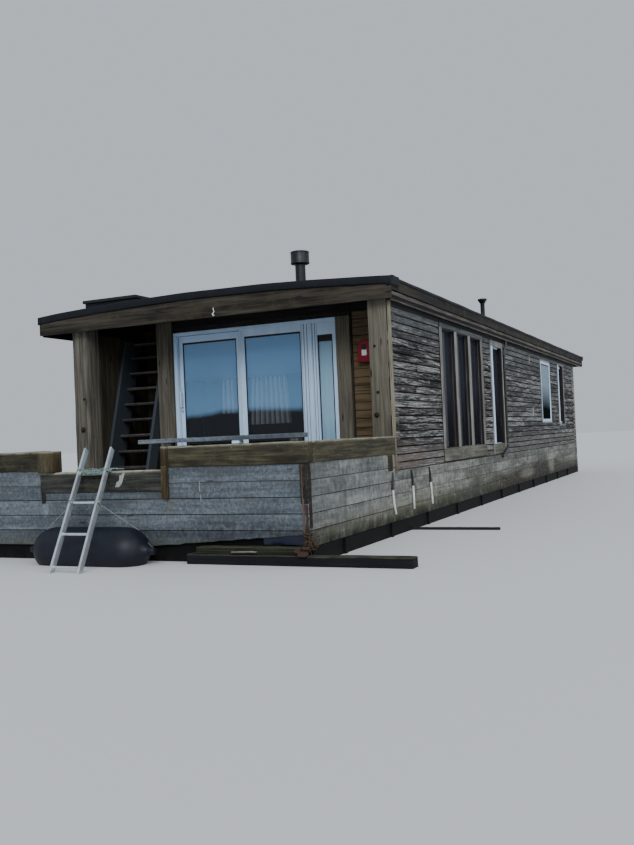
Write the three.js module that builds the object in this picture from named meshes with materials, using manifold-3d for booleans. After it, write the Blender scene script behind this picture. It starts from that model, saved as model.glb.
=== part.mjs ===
// A timber-clad houseboat: a flat-bottomed hull, a long cabin under a cambered roof, a covered front deck.
// Millimetres. The origin is the middle of the hull's flat bottom, with +Z up and +X to starboard.
// The bow is at -Y.

import * as THREE from 'three';
import { mergeVertices } from 'three/addons/utils/BufferGeometryUtils.js';
import Module from 'manifold-3d';

const wasm = await Module();
wasm.setup();

// Driving dimensions of the hull and its side boards.
const SEAM = 0.3;
const HULL_LENGTH = 18200;
const HULL_BEAM = 5780;
const WATERLINE = 570;
const BOARD_BOTTOM = 745;
const DECK_TOP = 1400;
const DECK_THICKNESS = 50;
const BOARD_THICKNESS = 50;
const KEEL_RAKE_HEIGHT = 440;
const KEEL_RAKE_LENGTH = 560;
const STRAKE_BOTTOM = 490;
const BRACKET_FIRST_Y = -8215;
const BRACKET_PITCH = 1540;
const BRACKET_COUNT = 11;

// Driving dimensions of the bulwark round the front deck.
const BULWARK_TOP = 1620;
const CAP_HEIGHT = 235;
const CAP_DEPTH = 130;
const GATE_PORT_X = -640;
const GATE_STARBOARD_X = 1110;
const GATE_BOARD_TOP = 1355;

// Driving dimensions of the cabin.
const CABIN_FRONT_Y = -6430;
const DOOR_WALL_Y = -5555;
const CABIN_AFT_Y = 8970;
const PORT_WALL_X = -2290;
const WALL_THICKNESS = 115;
const CEILING = 3790;
const POST_WIDTH = 280;
const SKIN_THICKNESS = 12;
const DOOR_HEAD = 3615;
const ALCOVE_PORT_X = PORT_WALL_X + POST_WIDTH;
const ALCOVE_STARBOARD_X = -1310;
const ALCOVE_AFT_Y = -4900;
const DOORS_PORT_X = -1025;
const DOORS_STARBOARD_X = 1775;
const DOOR_POST_X = 1995;

// Driving dimensions of the roof.
const ROOF_MIDDLE_X = 98;
const ROOF_HALF_WIDTH = 2892;
const ROOF_FRONT_Y = -6580;
const ROOF_AFT_Y = 10200;
const ROOF_EDGE_TOP = 3915;
const ROOF_CROWN_TOP = 4020;
const FELT_THICKNESS = 95;
const FASCIA_THICKNESS = 40;
const FASCIA_BOTTOM = 3640;
const DRIP = 12;
const SIDE_BOARD_TOP = 3885;
const CORNER_WRAP = 300;

const DECK_UNDERSIDE = DECK_TOP - DECK_THICKNESS;
const HULL_SIDE_X = HULL_BEAM / 2;
const HULL_CORE_X = HULL_SIDE_X - BOARD_THICKNESS;
const BOW_Y = -HULL_LENGTH / 2;
const STERN_Y = HULL_LENGTH / 2;
const BOW_CORE_Y = BOW_Y + BOARD_THICKNESS;
const STERN_CORE_Y = STERN_Y - BOARD_THICKNESS;
const CAP_TOP = BULWARK_TOP + CAP_HEIGHT;
const LOW_CAP_TOP = GATE_BOARD_TOP + CAP_HEIGHT + 10;
const CAP_FRONT_Y = BOW_Y - 20;
const CAP_BACK_Y = CAP_FRONT_Y + CAP_DEPTH;

const MATERIALS = {
  hull: { color: '#23282c', roughness: 0.7, metalness: 0.2 },
  silverBoard: { color: '#8d8a80', roughness: 0.9, metalness: 0 },
  darkBoard: { color: '#4a4440', roughness: 0.9, metalness: 0 },
  warmBoard: { color: '#8a5f36', roughness: 0.8, metalness: 0 },
  sleeper: { color: '#5c5235', roughness: 0.95, metalness: 0 },
  deck: { color: '#6b665c', roughness: 0.9, metalness: 0 },
  felt: { color: '#1d1e20', roughness: 0.9, metalness: 0 },
  fascia: { color: '#4b4030', roughness: 0.9, metalness: 0 },
  whitePlastic: { color: '#e8eaec', roughness: 0.35, metalness: 0 },
  greyFrame: { color: '#9c9c98', roughness: 0.7, metalness: 0 },
  blackMetal: { color: '#141618', roughness: 0.5, metalness: 0.6 },
  aluminium: { color: '#b9bdc0', roughness: 0.35, metalness: 0.9 },
  rubber: { color: '#15181f', roughness: 0.5, metalness: 0 },
  red: { color: '#b3202a', roughness: 0.4, metalness: 0 },
  glass: { color: '#9fb4c4', roughness: 0.05, metalness: 0 },
  curtain: { color: '#e4e5e2', roughness: 0.95, metalness: 0 },
};

const model = new THREE.Group();

// A closed geometry becomes a solid that can be cut and joined.
function solid(geometry) {
  geometry.deleteAttribute('normal');
  geometry.deleteAttribute('uv');
  const merged = mergeVertices(geometry, 1e-4);
  return new wasm.Manifold(new wasm.Mesh({
    numProp: 3,
    vertProperties: new Float32Array(merged.attributes.position.array),
    triVerts: new Uint32Array(merged.index.array),
  }));
}

// A box between two faces on each axis, drawn in by half a seam so that neighbours keep a seam between them.
function block(x0, x1, y0, y1, z0, z1, inset = SEAM / 2) {
  const geometry = new THREE.BoxGeometry(x1 - x0 - 2 * inset, y1 - y0 - 2 * inset, z1 - z0 - 2 * inset);
  geometry.translate((x0 + x1) / 2, (y0 + y1) / 2, (z0 + z1) / 2);
  return solid(geometry);
}

// A cutter is a box that runs past its faces by half a seam.
function cutter(x0, x1, y0, y1, z0, z1) {
  return block(x0, x1, y0, y1, z0, z1, -SEAM / 2);
}

function outline(points) {
  return new THREE.Shape(points.map(([u, v]) => new THREE.Vector2(u, v)));
}

// An outline of [x, z] points, run along Y.
function prismAlongY(points, y0, y1) {
  const geometry = new THREE.ExtrudeGeometry(outline(points), { depth: y1 - y0 - SEAM, bevelEnabled: false });
  const turn = new THREE.Matrix4().makeBasis(
    new THREE.Vector3(1, 0, 0), new THREE.Vector3(0, 0, 1), new THREE.Vector3(0, -1, 0));
  geometry.applyMatrix4(turn);
  geometry.translate(0, y1 - SEAM / 2, 0);
  return solid(geometry);
}

// An outline of [y, z] points, run along X.
function prismAlongX(points, x0, x1) {
  const geometry = new THREE.ExtrudeGeometry(outline(points), { depth: x1 - x0 - SEAM, bevelEnabled: false });
  const turn = new THREE.Matrix4().makeBasis(
    new THREE.Vector3(0, 1, 0), new THREE.Vector3(0, 0, 1), new THREE.Vector3(1, 0, 0));
  geometry.applyMatrix4(turn);
  geometry.translate(x0 + SEAM / 2, 0, 0);
  return solid(geometry);
}

// A round bar between two points.
function bar(from, to, radius, sides = 12) {
  const start = new THREE.Vector3(...from);
  const end = new THREE.Vector3(...to);
  const along = end.clone().sub(start);
  const geometry = new THREE.CylinderGeometry(radius, radius, along.length(), sides);
  geometry.applyQuaternion(new THREE.Quaternion().setFromUnitVectors(
    new THREE.Vector3(0, 1, 0), along.clone().normalize()));
  geometry.translate(...start.add(end).multiplyScalar(0.5).toArray());
  return solid(geometry);
}

// A profile of [radius, height] points turned about an upright axis.
function turned(profile, sides, x, y) {
  const points = profile.map(([radius, height]) => new THREE.Vector2(radius, height));
  const geometry = new THREE.LatheGeometry(points, sides);
  geometry.rotateX(Math.PI / 2);
  geometry.translate(x, y, 0);
  return solid(geometry);
}

function join(...solids) {
  return solids.reduce((whole, piece) => whole.add(piece));
}

function cut(whole, ...cutters) {
  return cutters.reduce((rest, tool) => rest.subtract(tool), whole);
}

// A finished solid becomes a named mesh of the model.
function add(name, piece, material) {
  const mesh = piece.getMesh();
  const geometry = new THREE.BufferGeometry();
  geometry.setAttribute('position', new THREE.BufferAttribute(mesh.vertProperties, 3));
  geometry.setIndex(new THREE.BufferAttribute(mesh.triVerts, 1));
  geometry.computeVertexNormals();
  const node = new THREE.Mesh(geometry, new THREE.MeshStandardMaterial(MATERIALS[material]));
  node.name = name;
  model.add(node);
}

// The hull is a decked box with raked ends and a dark rubbing strake with brackets on each side.
function addHull() {
  const bottomEnd = STERN_CORE_Y - KEEL_RAKE_LENGTH;
  const side = [
    [-bottomEnd, 0], [bottomEnd, 0], [STERN_CORE_Y, KEEL_RAKE_HEIGHT],
    [STERN_CORE_Y, DECK_UNDERSIDE], [BOW_CORE_Y, DECK_UNDERSIDE], [BOW_CORE_Y, KEEL_RAKE_HEIGHT],
  ];
  let hull = prismAlongX(side, -HULL_CORE_X, HULL_CORE_X);
  const strakeTop = BOARD_BOTTOM - SEAM;
  const bracketDepth = 25;
  const bracketWidth = 60;
  for (const hand of [-1, 1]) {
    const inner = hand * (HULL_CORE_X - 20);
    const outer = hand * HULL_SIDE_X;
    const proud = hand * (HULL_SIDE_X + bracketDepth);
    const strake = block(Math.min(inner, outer), Math.max(inner, outer),
      BOW_CORE_Y, STERN_Y, STRAKE_BOTTOM, strakeTop);
    hull = join(hull, strake);
    for (let i = 0; i < BRACKET_COUNT; i += 1) {
      const y = BRACKET_FIRST_Y + i * BRACKET_PITCH;
      hull = join(hull, block(Math.min(inner, proud), Math.max(inner, proud),
        y - bracketWidth / 2, y + bracketWidth / 2, STRAKE_BOTTOM - 40, strakeTop));
    }
  }
  add('hull', hull, 'hull');
}

// The side boards: a low run beside the cabin and a high run round the front deck.
function addHullBoards() {
  const bandTop = DECK_TOP;
  const low = BOARD_BOTTOM;
  const sideOutline = [
    [BOW_Y + BOARD_THICKNESS, low], [STERN_Y, low], [STERN_Y, bandTop],
    [CABIN_FRONT_Y, bandTop], [CABIN_FRONT_Y, BULWARK_TOP], [BOW_Y + BOARD_THICKNESS, BULWARK_TOP],
  ];
  add('boards_starboard', prismAlongX(sideOutline, HULL_CORE_X, HULL_SIDE_X), 'silverBoard');
  add('boards_port', prismAlongX(sideOutline, -HULL_SIDE_X, -HULL_CORE_X), 'silverBoard');

  // The lowest bow board is worn away towards the starboard corner.
  const wearStartX = 910;
  const wornBottom = 885;
  const bowOutline = [
    [-HULL_SIDE_X, low], [wearStartX, low], [HULL_SIDE_X, wornBottom], [HULL_SIDE_X, BULWARK_TOP],
    [GATE_STARBOARD_X, BULWARK_TOP], [GATE_STARBOARD_X, GATE_BOARD_TOP],
    [GATE_PORT_X, GATE_BOARD_TOP], [GATE_PORT_X, BULWARK_TOP], [-HULL_SIDE_X, BULWARK_TOP],
  ];
  add('boards_bow', prismAlongY(bowOutline, BOW_Y, BOW_CORE_Y), 'silverBoard');
  add('boards_stern', block(-HULL_CORE_X, HULL_CORE_X, STERN_CORE_Y, STERN_Y, low, bandTop), 'silverBoard');
}

// The deck runs from bow to stern, is the cabin's floor as well, and is notched for the lowered sleeper.
function addDeck() {
  const deck = cut(
    block(-HULL_CORE_X, HULL_CORE_X, BOW_CORE_Y, STERN_CORE_Y, DECK_UNDERSIDE, DECK_TOP),
    cutter(GATE_PORT_X, GATE_STARBOARD_X, BOW_Y, CAP_BACK_Y, DECK_UNDERSIDE - 10, DECK_TOP + 10));
  add('deck', deck, 'deck');
}

// Heavy sleepers cap the bulwark. The one at the ladder is lower, with a block standing on its port end.
function addBulwarkCaps() {
  const front = CAP_FRONT_Y;
  const back = CAP_BACK_Y;
  const side = HULL_SIDE_X + 20;
  const blockStarboardX = GATE_PORT_X + 235;
  const stripStarboardX = GATE_STARBOARD_X + 70;
  // name, x0, x1, y0, y1, z0, z1
  const caps = [
    ['cap_bow_starboard', stripStarboardX, side, front, back, BULWARK_TOP, CAP_TOP],
    ['cap_bow_port', -side, GATE_PORT_X, front, back, BULWARK_TOP, CAP_TOP],
    ['cap_ladder', GATE_PORT_X, GATE_STARBOARD_X, front, back, GATE_BOARD_TOP, LOW_CAP_TOP],
    ['cap_starboard', side - CAP_DEPTH, side, back, CABIN_FRONT_Y, BULWARK_TOP, CAP_TOP],
    ['cap_port', -side, -side + CAP_DEPTH, back, CABIN_FRONT_Y, BULWARK_TOP, CAP_TOP],
  ];
  for (const [name, x0, x1, y0, y1, z0, z1] of caps) {
    add(name, block(x0, x1, y0, y1, z0, z1), 'sleeper');
  }
  // Both uprights stand proud of the sleepers, and the starboard one has a foot down the boards' face.
  const uprightFront = front - 40;
  const starboardFoot = 1270;
  add('upright_port', block(
    GATE_PORT_X, blockStarboardX, uprightFront, back, LOW_CAP_TOP, CAP_TOP), 'sleeper');
  const stripX = [GATE_STARBOARD_X, stripStarboardX];
  add('upright_starboard', join(
    block(...stripX, uprightFront, back, BULWARK_TOP, CAP_TOP),
    block(...stripX, uprightFront, BOW_Y, starboardFoot, BULWARK_TOP + 10)), 'sleeper');
}

// Posts stand at the cabin's front corners, beside the stair and beside the glazed doors.
function addPosts() {
  const starboardPostX = HULL_SIDE_X - SKIN_THICKNESS;
  const cornerY = [CABIN_FRONT_Y, CABIN_FRONT_Y + POST_WIDTH];
  const wallY = [DOOR_WALL_Y - 50, DOOR_WALL_Y + 130];
  // name, x0, x1, [y0, y1], z1
  const posts = [
    ['post_starboard', starboardPostX - POST_WIDTH, starboardPostX, cornerY, CEILING],
    ['post_port', PORT_WALL_X, PORT_WALL_X + POST_WIDTH, cornerY, CEILING],
    ['post_stair', ALCOVE_STARBOARD_X, DOORS_PORT_X, wallY, CEILING],
    ['post_door', DOORS_STARBOARD_X, DOOR_POST_X, wallY, DOOR_HEAD],
  ];
  for (const [name, x0, x1, ys, z1] of posts) {
    add(name, block(x0, x1, ...ys, DECK_TOP, z1), 'sleeper');
  }
}

// The openings cut in the long walls: first and last y, bottom and top.
const TALL_WINDOW = { y0: -4175, y1: -1530, z0: 1425, z1: 3570 };
const NARROW_WINDOW = { y0: -890, y1: 50, z0: 1425, z1: 3550 };
const MID_WINDOW = { y0: 3990, y1: 5170, z0: 2010, z1: 3455 };
const AFT_WINDOW = { y0: 6345, y1: 7175, z0: 1950, z1: 3480 };
const PORT_DOOR = { y0: -3700, y1: -2850, z0: DECK_TOP, z1: 3430 };
const PORT_WINDOW = { y0: 1750, y1: 2930, z0: 2010, z1: 3455 };
const STERN_WINDOW = { x0: -350, x1: 830, z0: 2010, z1: 3455 };

// The cabin walls, each as thick as its boards and frame together, with the openings cut.
function addWalls() {
  const inner = HULL_SIDE_X - WALL_THICKNESS;
  const postBack = CABIN_FRONT_Y + POST_WIDTH;
  const starboard = cut(
    block(inner, HULL_SIDE_X, CABIN_FRONT_Y, CABIN_AFT_Y, DECK_TOP, CEILING),
    cutter(inner - 10, HULL_SIDE_X - SKIN_THICKNESS, CABIN_FRONT_Y - 10, postBack,
      DECK_TOP - 10, CEILING + 10),
    ...[TALL_WINDOW, NARROW_WINDOW, MID_WINDOW, AFT_WINDOW].map(
      (hole) => cutter(inner - 10, HULL_SIDE_X + 10, hole.y0, hole.y1, hole.z0, hole.z1)));
  add('wall_starboard', starboard, 'darkBoard');

  const portInner = PORT_WALL_X + WALL_THICKNESS;
  const port = cut(
    block(PORT_WALL_X, portInner, postBack, CABIN_AFT_Y, DECK_TOP, CEILING),
    cutter(PORT_WALL_X - 10, portInner + 10, PORT_DOOR.y0, PORT_DOOR.y1, DECK_TOP - 10, PORT_DOOR.z1),
    cutter(PORT_WALL_X - 10, portInner + 10, PORT_WINDOW.y0, PORT_WINDOW.y1, PORT_WINDOW.z0, PORT_WINDOW.z1));
  add('wall_port', port, 'darkBoard');

  const sternInner = CABIN_AFT_Y - WALL_THICKNESS;
  const stern = cut(
    block(portInner, inner, sternInner, CABIN_AFT_Y, DECK_TOP, CEILING),
    cutter(STERN_WINDOW.x0, STERN_WINDOW.x1, sternInner - 10, CABIN_AFT_Y + 10,
      STERN_WINDOW.z0, STERN_WINDOW.z1));
  add('wall_stern', stern, 'darkBoard');

  // The front wall: boards beside the door post and a header over the glazed doors.
  const frontOutline = [
    [DOORS_PORT_X + SEAM / 2, DOOR_HEAD + SEAM / 2], [DOOR_POST_X + SEAM / 2, DOOR_HEAD + SEAM / 2],
    [DOOR_POST_X + SEAM / 2, DECK_TOP + SEAM / 2], [inner - SEAM / 2, DECK_TOP + SEAM / 2],
    [inner - SEAM / 2, CEILING - SEAM / 2], [DOORS_PORT_X + SEAM / 2, CEILING - SEAM / 2],
  ];
  add('wall_front', prismAlongY(frontOutline, DOOR_WALL_Y, DOOR_WALL_Y + WALL_THICKNESS), 'warmBoard');

  // The stair alcove: a port lining with a gap over it, a back wall and a partition to the cabin.
  const liningTop = 3620;
  const boards = 88;
  const backY = ALCOVE_AFT_Y + boards;
  const partition = block(ALCOVE_STARBOARD_X, ALCOVE_STARBOARD_X + boards, DOOR_WALL_Y + 130, backY,
    DECK_TOP, CEILING);
  const back = block(portInner, ALCOVE_STARBOARD_X + boards / 2, ALCOVE_AFT_Y, backY, DECK_TOP, CEILING);
  const lining = block(portInner, ALCOVE_PORT_X, postBack, ALCOVE_AFT_Y, DECK_TOP, liningTop);
  add('alcove_wall', join(partition, back), 'warmBoard');
  add('alcove_lining', lining, 'warmBoard');
}

// The height of the felt at an x. The roof reaches less far to port, so its crown is off the hull's middle.
function roofTop(x) {
  const rise = ROOF_CROWN_TOP - ROOF_EDGE_TOP;
  return ROOF_CROWN_TOP - rise * ((x - ROOF_MIDDLE_X) / ROOF_HALF_WIDTH) ** 2;
}

// The roof's cambered outline, lowered by a depth, from port to starboard.
function camber(halfWidth, lowered, steps = 16) {
  const points = [];
  for (let i = 0; i <= steps; i += 1) {
    const x = ROOF_MIDDLE_X + halfWidth * (2 * i / steps - 1);
    points.push([x, roofTop(x) - lowered]);
  }
  return points;
}

const HATCH = { x0: -2220, x1: -1280, y0: -6170, y1: -4945, top: 4130 };

// The roof: a felted deck over a flat ceiling, with the hatchway cut through it.
// Along the sides the felt is only a thin edge over the side boards, and at the corners it wraps down.
function addRoof() {
  const half = ROOF_HALF_WIDTH + DRIP;
  const coreHalf = ROOF_HALF_WIDTH - FASCIA_THICKNESS;
  const corePortX = ROOF_MIDDLE_X - coreHalf;
  const coreStarboardX = ROOF_MIDDLE_X + coreHalf;
  const felt = prismAlongY(
    [...camber(half, FELT_THICKNESS), ...camber(half, 0).reverse()], ROOF_FRONT_Y - DRIP, ROOF_AFT_Y + DRIP);
  const core = prismAlongY(
    [[corePortX, CEILING], [coreStarboardX, CEILING],
      ...camber(coreHalf, FELT_THICKNESS - 10).reverse()],
    ROOF_FRONT_Y + FASCIA_THICKNESS, ROOF_AFT_Y - FASCIA_THICKNESS);
  const hatchway = cutter(HATCH.x0, HATCH.x1, HATCH.y0, HATCH.y1, CEILING - 10, HATCH.top);
  const edges = [
    [ROOF_MIDDLE_X - half - 10, corePortX], [coreStarboardX, ROOF_MIDDLE_X + half + 10],
  ];
  const rebates = edges.map(([x0, x1]) => cutter(
    x0, x1, ROOF_FRONT_Y + CORNER_WRAP, ROOF_AFT_Y - CORNER_WRAP, FASCIA_BOTTOM, SIDE_BOARD_TOP));
  add('roof', cut(join(felt, core), hatchway, ...rebates), 'felt');
}

// The boards that close the roof's four edges.
function addFascias() {
  const lowered = FELT_THICKNESS + SEAM;
  const endOutline = [
    [ROOF_MIDDLE_X - ROOF_HALF_WIDTH, FASCIA_BOTTOM], [ROOF_MIDDLE_X + ROOF_HALF_WIDTH, FASCIA_BOTTOM],
    ...camber(ROOF_HALF_WIDTH, lowered).reverse(),
  ];
  add('fascia_front', prismAlongY(endOutline, ROOF_FRONT_Y, ROOF_FRONT_Y + FASCIA_THICKNESS), 'fascia');
  add('fascia_stern', prismAlongY(endOutline, ROOF_AFT_Y - FASCIA_THICKNESS, ROOF_AFT_Y), 'fascia');

  // The side profile: bead, shadow gap, trim, groove and board, as depth from the inner face and height.
  const inner = ROOF_HALF_WIDTH - FASCIA_THICKNESS + SEAM;
  const boardDepth = ROOF_HALF_WIDTH - inner;
  const boardTop = SIDE_BOARD_TOP - FASCIA_BOTTOM - SEAM;
  const profile = [
    [0, -20], [22, -20], [22, 0], [10, 0], [10, 50], [30, 50],
    [30, 98], [12, 98], [12, 115], [boardDepth, 115], [boardDepth, boardTop], [0, boardTop],
  ];
  const wrapUnderside = ROOF_EDGE_TOP - lowered;
  for (const [name, hand] of [['fascia_starboard', 1], ['fascia_port', -1]]) {
    const board = profile.map(
      ([depth, height]) => [ROOF_MIDDLE_X + hand * (inner + depth), FASCIA_BOTTOM + height]);
    const x0 = ROOF_MIDDLE_X + Math.min(hand * inner, hand * ROOF_HALF_WIDTH) - 10;
    const whole = prismAlongY(hand > 0 ? board : board.reverse(),
      ROOF_FRONT_Y + FASCIA_THICKNESS, ROOF_AFT_Y - FASCIA_THICKNESS);
    const side = cut(whole,
      cutter(x0, x0 + 60, ROOF_FRONT_Y, ROOF_FRONT_Y + CORNER_WRAP, wrapUnderside, SIDE_BOARD_TOP),
      cutter(x0, x0 + 60, ROOF_AFT_Y - CORNER_WRAP, ROOF_AFT_Y, wrapUnderside, SIDE_BOARD_TOP));
    add(name, side, 'fascia');
  }
}

// The hatch over the stair: a coaming through the roof and a lid hinged at its aft edge.
function addHatch() {
  const wall = 50;
  const hingeY = HATCH.y1 + 50;
  const hingeZ = HATCH.top + 22;
  const pinRadius = 14;
  let coaming = cut(
    block(HATCH.x0, HATCH.x1, HATCH.y0, HATCH.y1, CEILING, HATCH.top),
    cutter(HATCH.x0 + wall, HATCH.x1 - wall, HATCH.y0 + wall, HATCH.y1 - wall, CEILING - 10, HATCH.top + 10));
  let lid = block(HATCH.x0 - 30, HATCH.x1 + 30, HATCH.y0 - 30, HATCH.y1 + 20, HATCH.top, HATCH.top + 45);
  // knuckle length along the hinge, in three runs for each of two hinges
  const knuckle = 50;
  for (const middle of [HATCH.x0 + 190, HATCH.x1 - 190]) {
    lid = join(lid,
      bar([middle - knuckle / 2, hingeY, hingeZ], [middle + knuckle / 2, hingeY, hingeZ], pinRadius),
      block(middle - knuckle / 2, middle + knuckle / 2, HATCH.y1 + 10, hingeY, hingeZ - 5, hingeZ + 5));
    for (const side of [-1, 1]) {
      const near = middle + side * (knuckle / 2 + SEAM);
      const far = middle + side * (knuckle / 2 + SEAM + knuckle);
      const low = Math.min(near, far);
      const high = Math.max(near, far);
      coaming = join(coaming,
        bar([low, hingeY, hingeZ], [high, hingeY, hingeZ], pinRadius),
        block(low, high, hingeY - pinRadius + 2, hingeY + pinRadius - 2, HATCH.top - 52, hingeZ, 0),
        block(low, high, HATCH.y1 - 20, hingeY + pinRadius - 2, HATCH.top - 79, HATCH.top - 52, 0));
    }
    // The lid's back edge is notched for the coaming's knuckles.
    const notchY = [HATCH.y1 + 10, HATCH.y1 + 70];
    const notchZ = [HATCH.top - 10, HATCH.top + 52];
    const half = knuckle / 2;
    const reach = 1.5 * knuckle + 8;
    lid = cut(lid,
      cutter(middle - reach, middle - half, ...notchY, ...notchZ),
      cutter(middle + half, middle + reach, ...notchY, ...notchZ));
  }
  add('hatch_coaming', coaming, 'fascia');
  add('hatch_lid', lid, 'felt');
}

// The stove's flue with its cowl, and a small vent, both standing on the roof.
function addRoofPipes() {
  const flueX = 420;
  const flueY = -3805;
  const flueBottom = roofTop(flueX) + 1;
  const flue = [
    [0, flueBottom], [130, flueBottom], [130, flueBottom + 40], [88, flueBottom + 52], [88, 4805],
    [160, 4805], [160, 5020], [0, 5040],
  ];
  add('chimney', turned(flue, 24, flueX, flueY), 'blackMetal');
  const ventX = 2640;
  const ventY = -305;
  const ventBottom = roofTop(ventX - 52) + 1;
  // The vent's cap is a funnel: a neck, a cone that widens upwards and an upright rim.
  const vent = [
    [0, ventBottom], [61, ventBottom], [61, ventBottom + 20], [42, ventBottom + 30], [42, 4325],
    [49, 4335], [84, 4390], [90, 4395], [90, 4420], [0, 4420],
  ];
  add('vent', turned(vent, 20, ventX, ventY), 'blackMetal');
}

// The glazed front doors: one leaf slides behind a fixed pane, and a narrow light closes the side.
function addFrontDoors() {
  const x0 = DOORS_PORT_X;
  const x1 = DOORS_STARBOARD_X;
  const y0 = DOOR_WALL_Y;
  const y1 = DOOR_WALL_Y + 105;
  const rail = 55;
  const fixedBack = y0 + 55;
  const bottom = DECK_TOP + rail;
  const top = DOOR_HEAD - rail;
  const fixedX = 165;
  // x0, x1, top of each fixed pane
  const panes = [[255, 1190, 3450], [1470, 1700, 3370]];
  const glassBottom = DECK_TOP + 140;
  let frame = cut(
    block(x0, x1, y0, y1, DECK_TOP, DOOR_HEAD),
    cutter(x0 + rail, x1 - rail, y0 - 10, y1 + 10, bottom, top));
  frame = join(frame, block(fixedX, x1 - rail + 10, y0, fixedBack, bottom - 10, top + 10));
  for (const [left, right, head] of panes) {
    frame = cut(frame, cutter(left, right, y0 - 10, fixedBack + 10, glassBottom, head));
  }
  add('front_door_frame', frame, 'whitePlastic');
  const glassFront = y0 + 14;
  const glassBack = y0 + 38;
  ['front_door_fixed_glass', 'front_door_side_glass'].forEach((name, i) => {
    const [left, right, head] = panes[i];
    add(name, block(left, right, glassFront, glassBack, glassBottom, head), 'glass');
  });

  // The sliding leaf stands clear of the frame and runs on two shoes.
  const clear = 6;
  const leafFront = fixedBack + clear;
  const leafBack = leafFront + 48;
  const leafX0 = x0 + rail + clear;
  const leafX1 = 175;
  const leafBottom = bottom + clear;
  const leafTop = top - clear;
  const pane = [-890, 70, 3450];
  let leaf = cut(
    block(leafX0, leafX1, leafFront, leafBack, leafBottom, leafTop),
    cutter(pane[0], pane[1], leafFront - 10, leafBack + 10, glassBottom, pane[2]));
  const shoeLength = 88;
  for (const shoeX of [leafX0 + 52, leafX1 - 140]) {
    leaf = join(leaf, block(shoeX, shoeX + shoeLength, leafFront + 10, leafBack - 10,
      bottom + SEAM / 2, leafBottom + 10));
  }
  const handleX = -930;
  const handleZ = 2565;
  leaf = join(leaf,
    block(handleX - 12, handleX + 12, leafFront - 61, leafFront - 50, handleZ - 122, handleZ + 122),
    block(handleX - 12, handleX + 12, leafFront - 52, leafFront + 10, handleZ - 114, handleZ - 92),
    block(handleX - 12, handleX + 12, leafFront - 52, leafFront + 10, handleZ + 92, handleZ + 114));
  add('front_door_leaf', leaf, 'whitePlastic');
  add('front_door_leaf_glass', block(
    pane[0], pane[1], leafFront + 12, leafFront + 36, glassBottom, pane[2]), 'glass');
}

// The tall window: four posts with three bays between them, the glass set back behind.
function addTallWindow() {
  const { y0, y1, z0, z1 } = TALL_WINDOW;
  const bays = 3;
  const post = 122;
  const bay = (y1 - y0 - (bays + 1) * post) / bays;
  const front = HULL_SIDE_X + 12;
  const back = HULL_SIDE_X - WALL_THICKNESS + 20;
  const glassFront = HULL_SIDE_X - 79;
  const sillTop = 1630;
  const bayTop = 3495;
  let frame = block(back, front, y0, y1, z0, z1);
  for (let i = 0; i < bays; i += 1) {
    const left = y0 + post + i * (bay + post);
    frame = cut(frame, cutter(glassFront - 5, front + 10, left, left + bay, sillTop, bayTop));
  }
  const pocket = 25;
  frame = cut(frame, cutter(
    back - 10, glassFront, y0 + post - pocket, y1 - post + pocket, sillTop - pocket, bayTop + pocket));
  add('tall_window_frame', frame, 'greyFrame');
  add('tall_window_glass', block(glassFront - 24, glassFront,
    y0 + post - pocket, y1 - post + pocket, sillTop - pocket, bayTop + pocket), 'glass');
}

// A framed window in a long wall. hand is 1 to starboard and -1 to port; outer is the wall's outer face.
function addSideWindow(name, hole, hand, outer, setBack, stile, sill, material) {
  const faceA = outer - hand * setBack;
  const faceB = outer - hand * Math.max(setBack + 52, 52);
  const x0 = Math.min(faceA, faceB);
  const x1 = Math.max(faceA, faceB);
  const frame = cut(
    block(x0, x1, hole.y0, hole.y1, hole.z0, hole.z1),
    cutter(x0 - 10, x1 + 10, hole.y0 + stile, hole.y1 - stile, hole.z0 + sill, hole.z1 - stile));
  add(`${name}_frame`, frame, material);
  const middle = (x0 + x1) / 2;
  add(`${name}_glass`, block(middle - 12, middle + 12,
    hole.y0 + stile, hole.y1 - stile, hole.z0 + sill, hole.z1 - stile), 'glass');
}

function addWindows() {
  addTallWindow();
  // name, hole, hand, outer face, set back, stile width, sill height
  const windows = [
    ['narrow_window', NARROW_WINDOW, 1, HULL_SIDE_X, 52, 115, 200],
    ['mid_window', MID_WINDOW, 1, HULL_SIDE_X, -12, 60, 70],
    ['aft_window', AFT_WINDOW, 1, HULL_SIDE_X, 57, 60, 70],
    ['port_window', PORT_WINDOW, -1, PORT_WALL_X, -12, 60, 70],
  ];
  for (const [name, hole, hand, outer, setBack, stile, sill] of windows) {
    addSideWindow(name, hole, hand, outer, setBack, stile, sill, 'whitePlastic');
  }
  const { x0, x1, z0, z1 } = STERN_WINDOW;
  const stile = 60;
  const frame = cut(
    block(x0, x1, CABIN_AFT_Y - 48, CABIN_AFT_Y + 12, z0, z1),
    cutter(x0 + stile, x1 - stile, CABIN_AFT_Y - 52, CABIN_AFT_Y + 20, z0 + stile, z1 - stile));
  add('stern_window_frame', frame, 'whitePlastic');
  add('stern_window_glass', block(
    x0 + stile, x1 - stile, CABIN_AFT_Y - 30, CABIN_AFT_Y - 6, z0 + stile, z1 - stile), 'glass');
}

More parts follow.
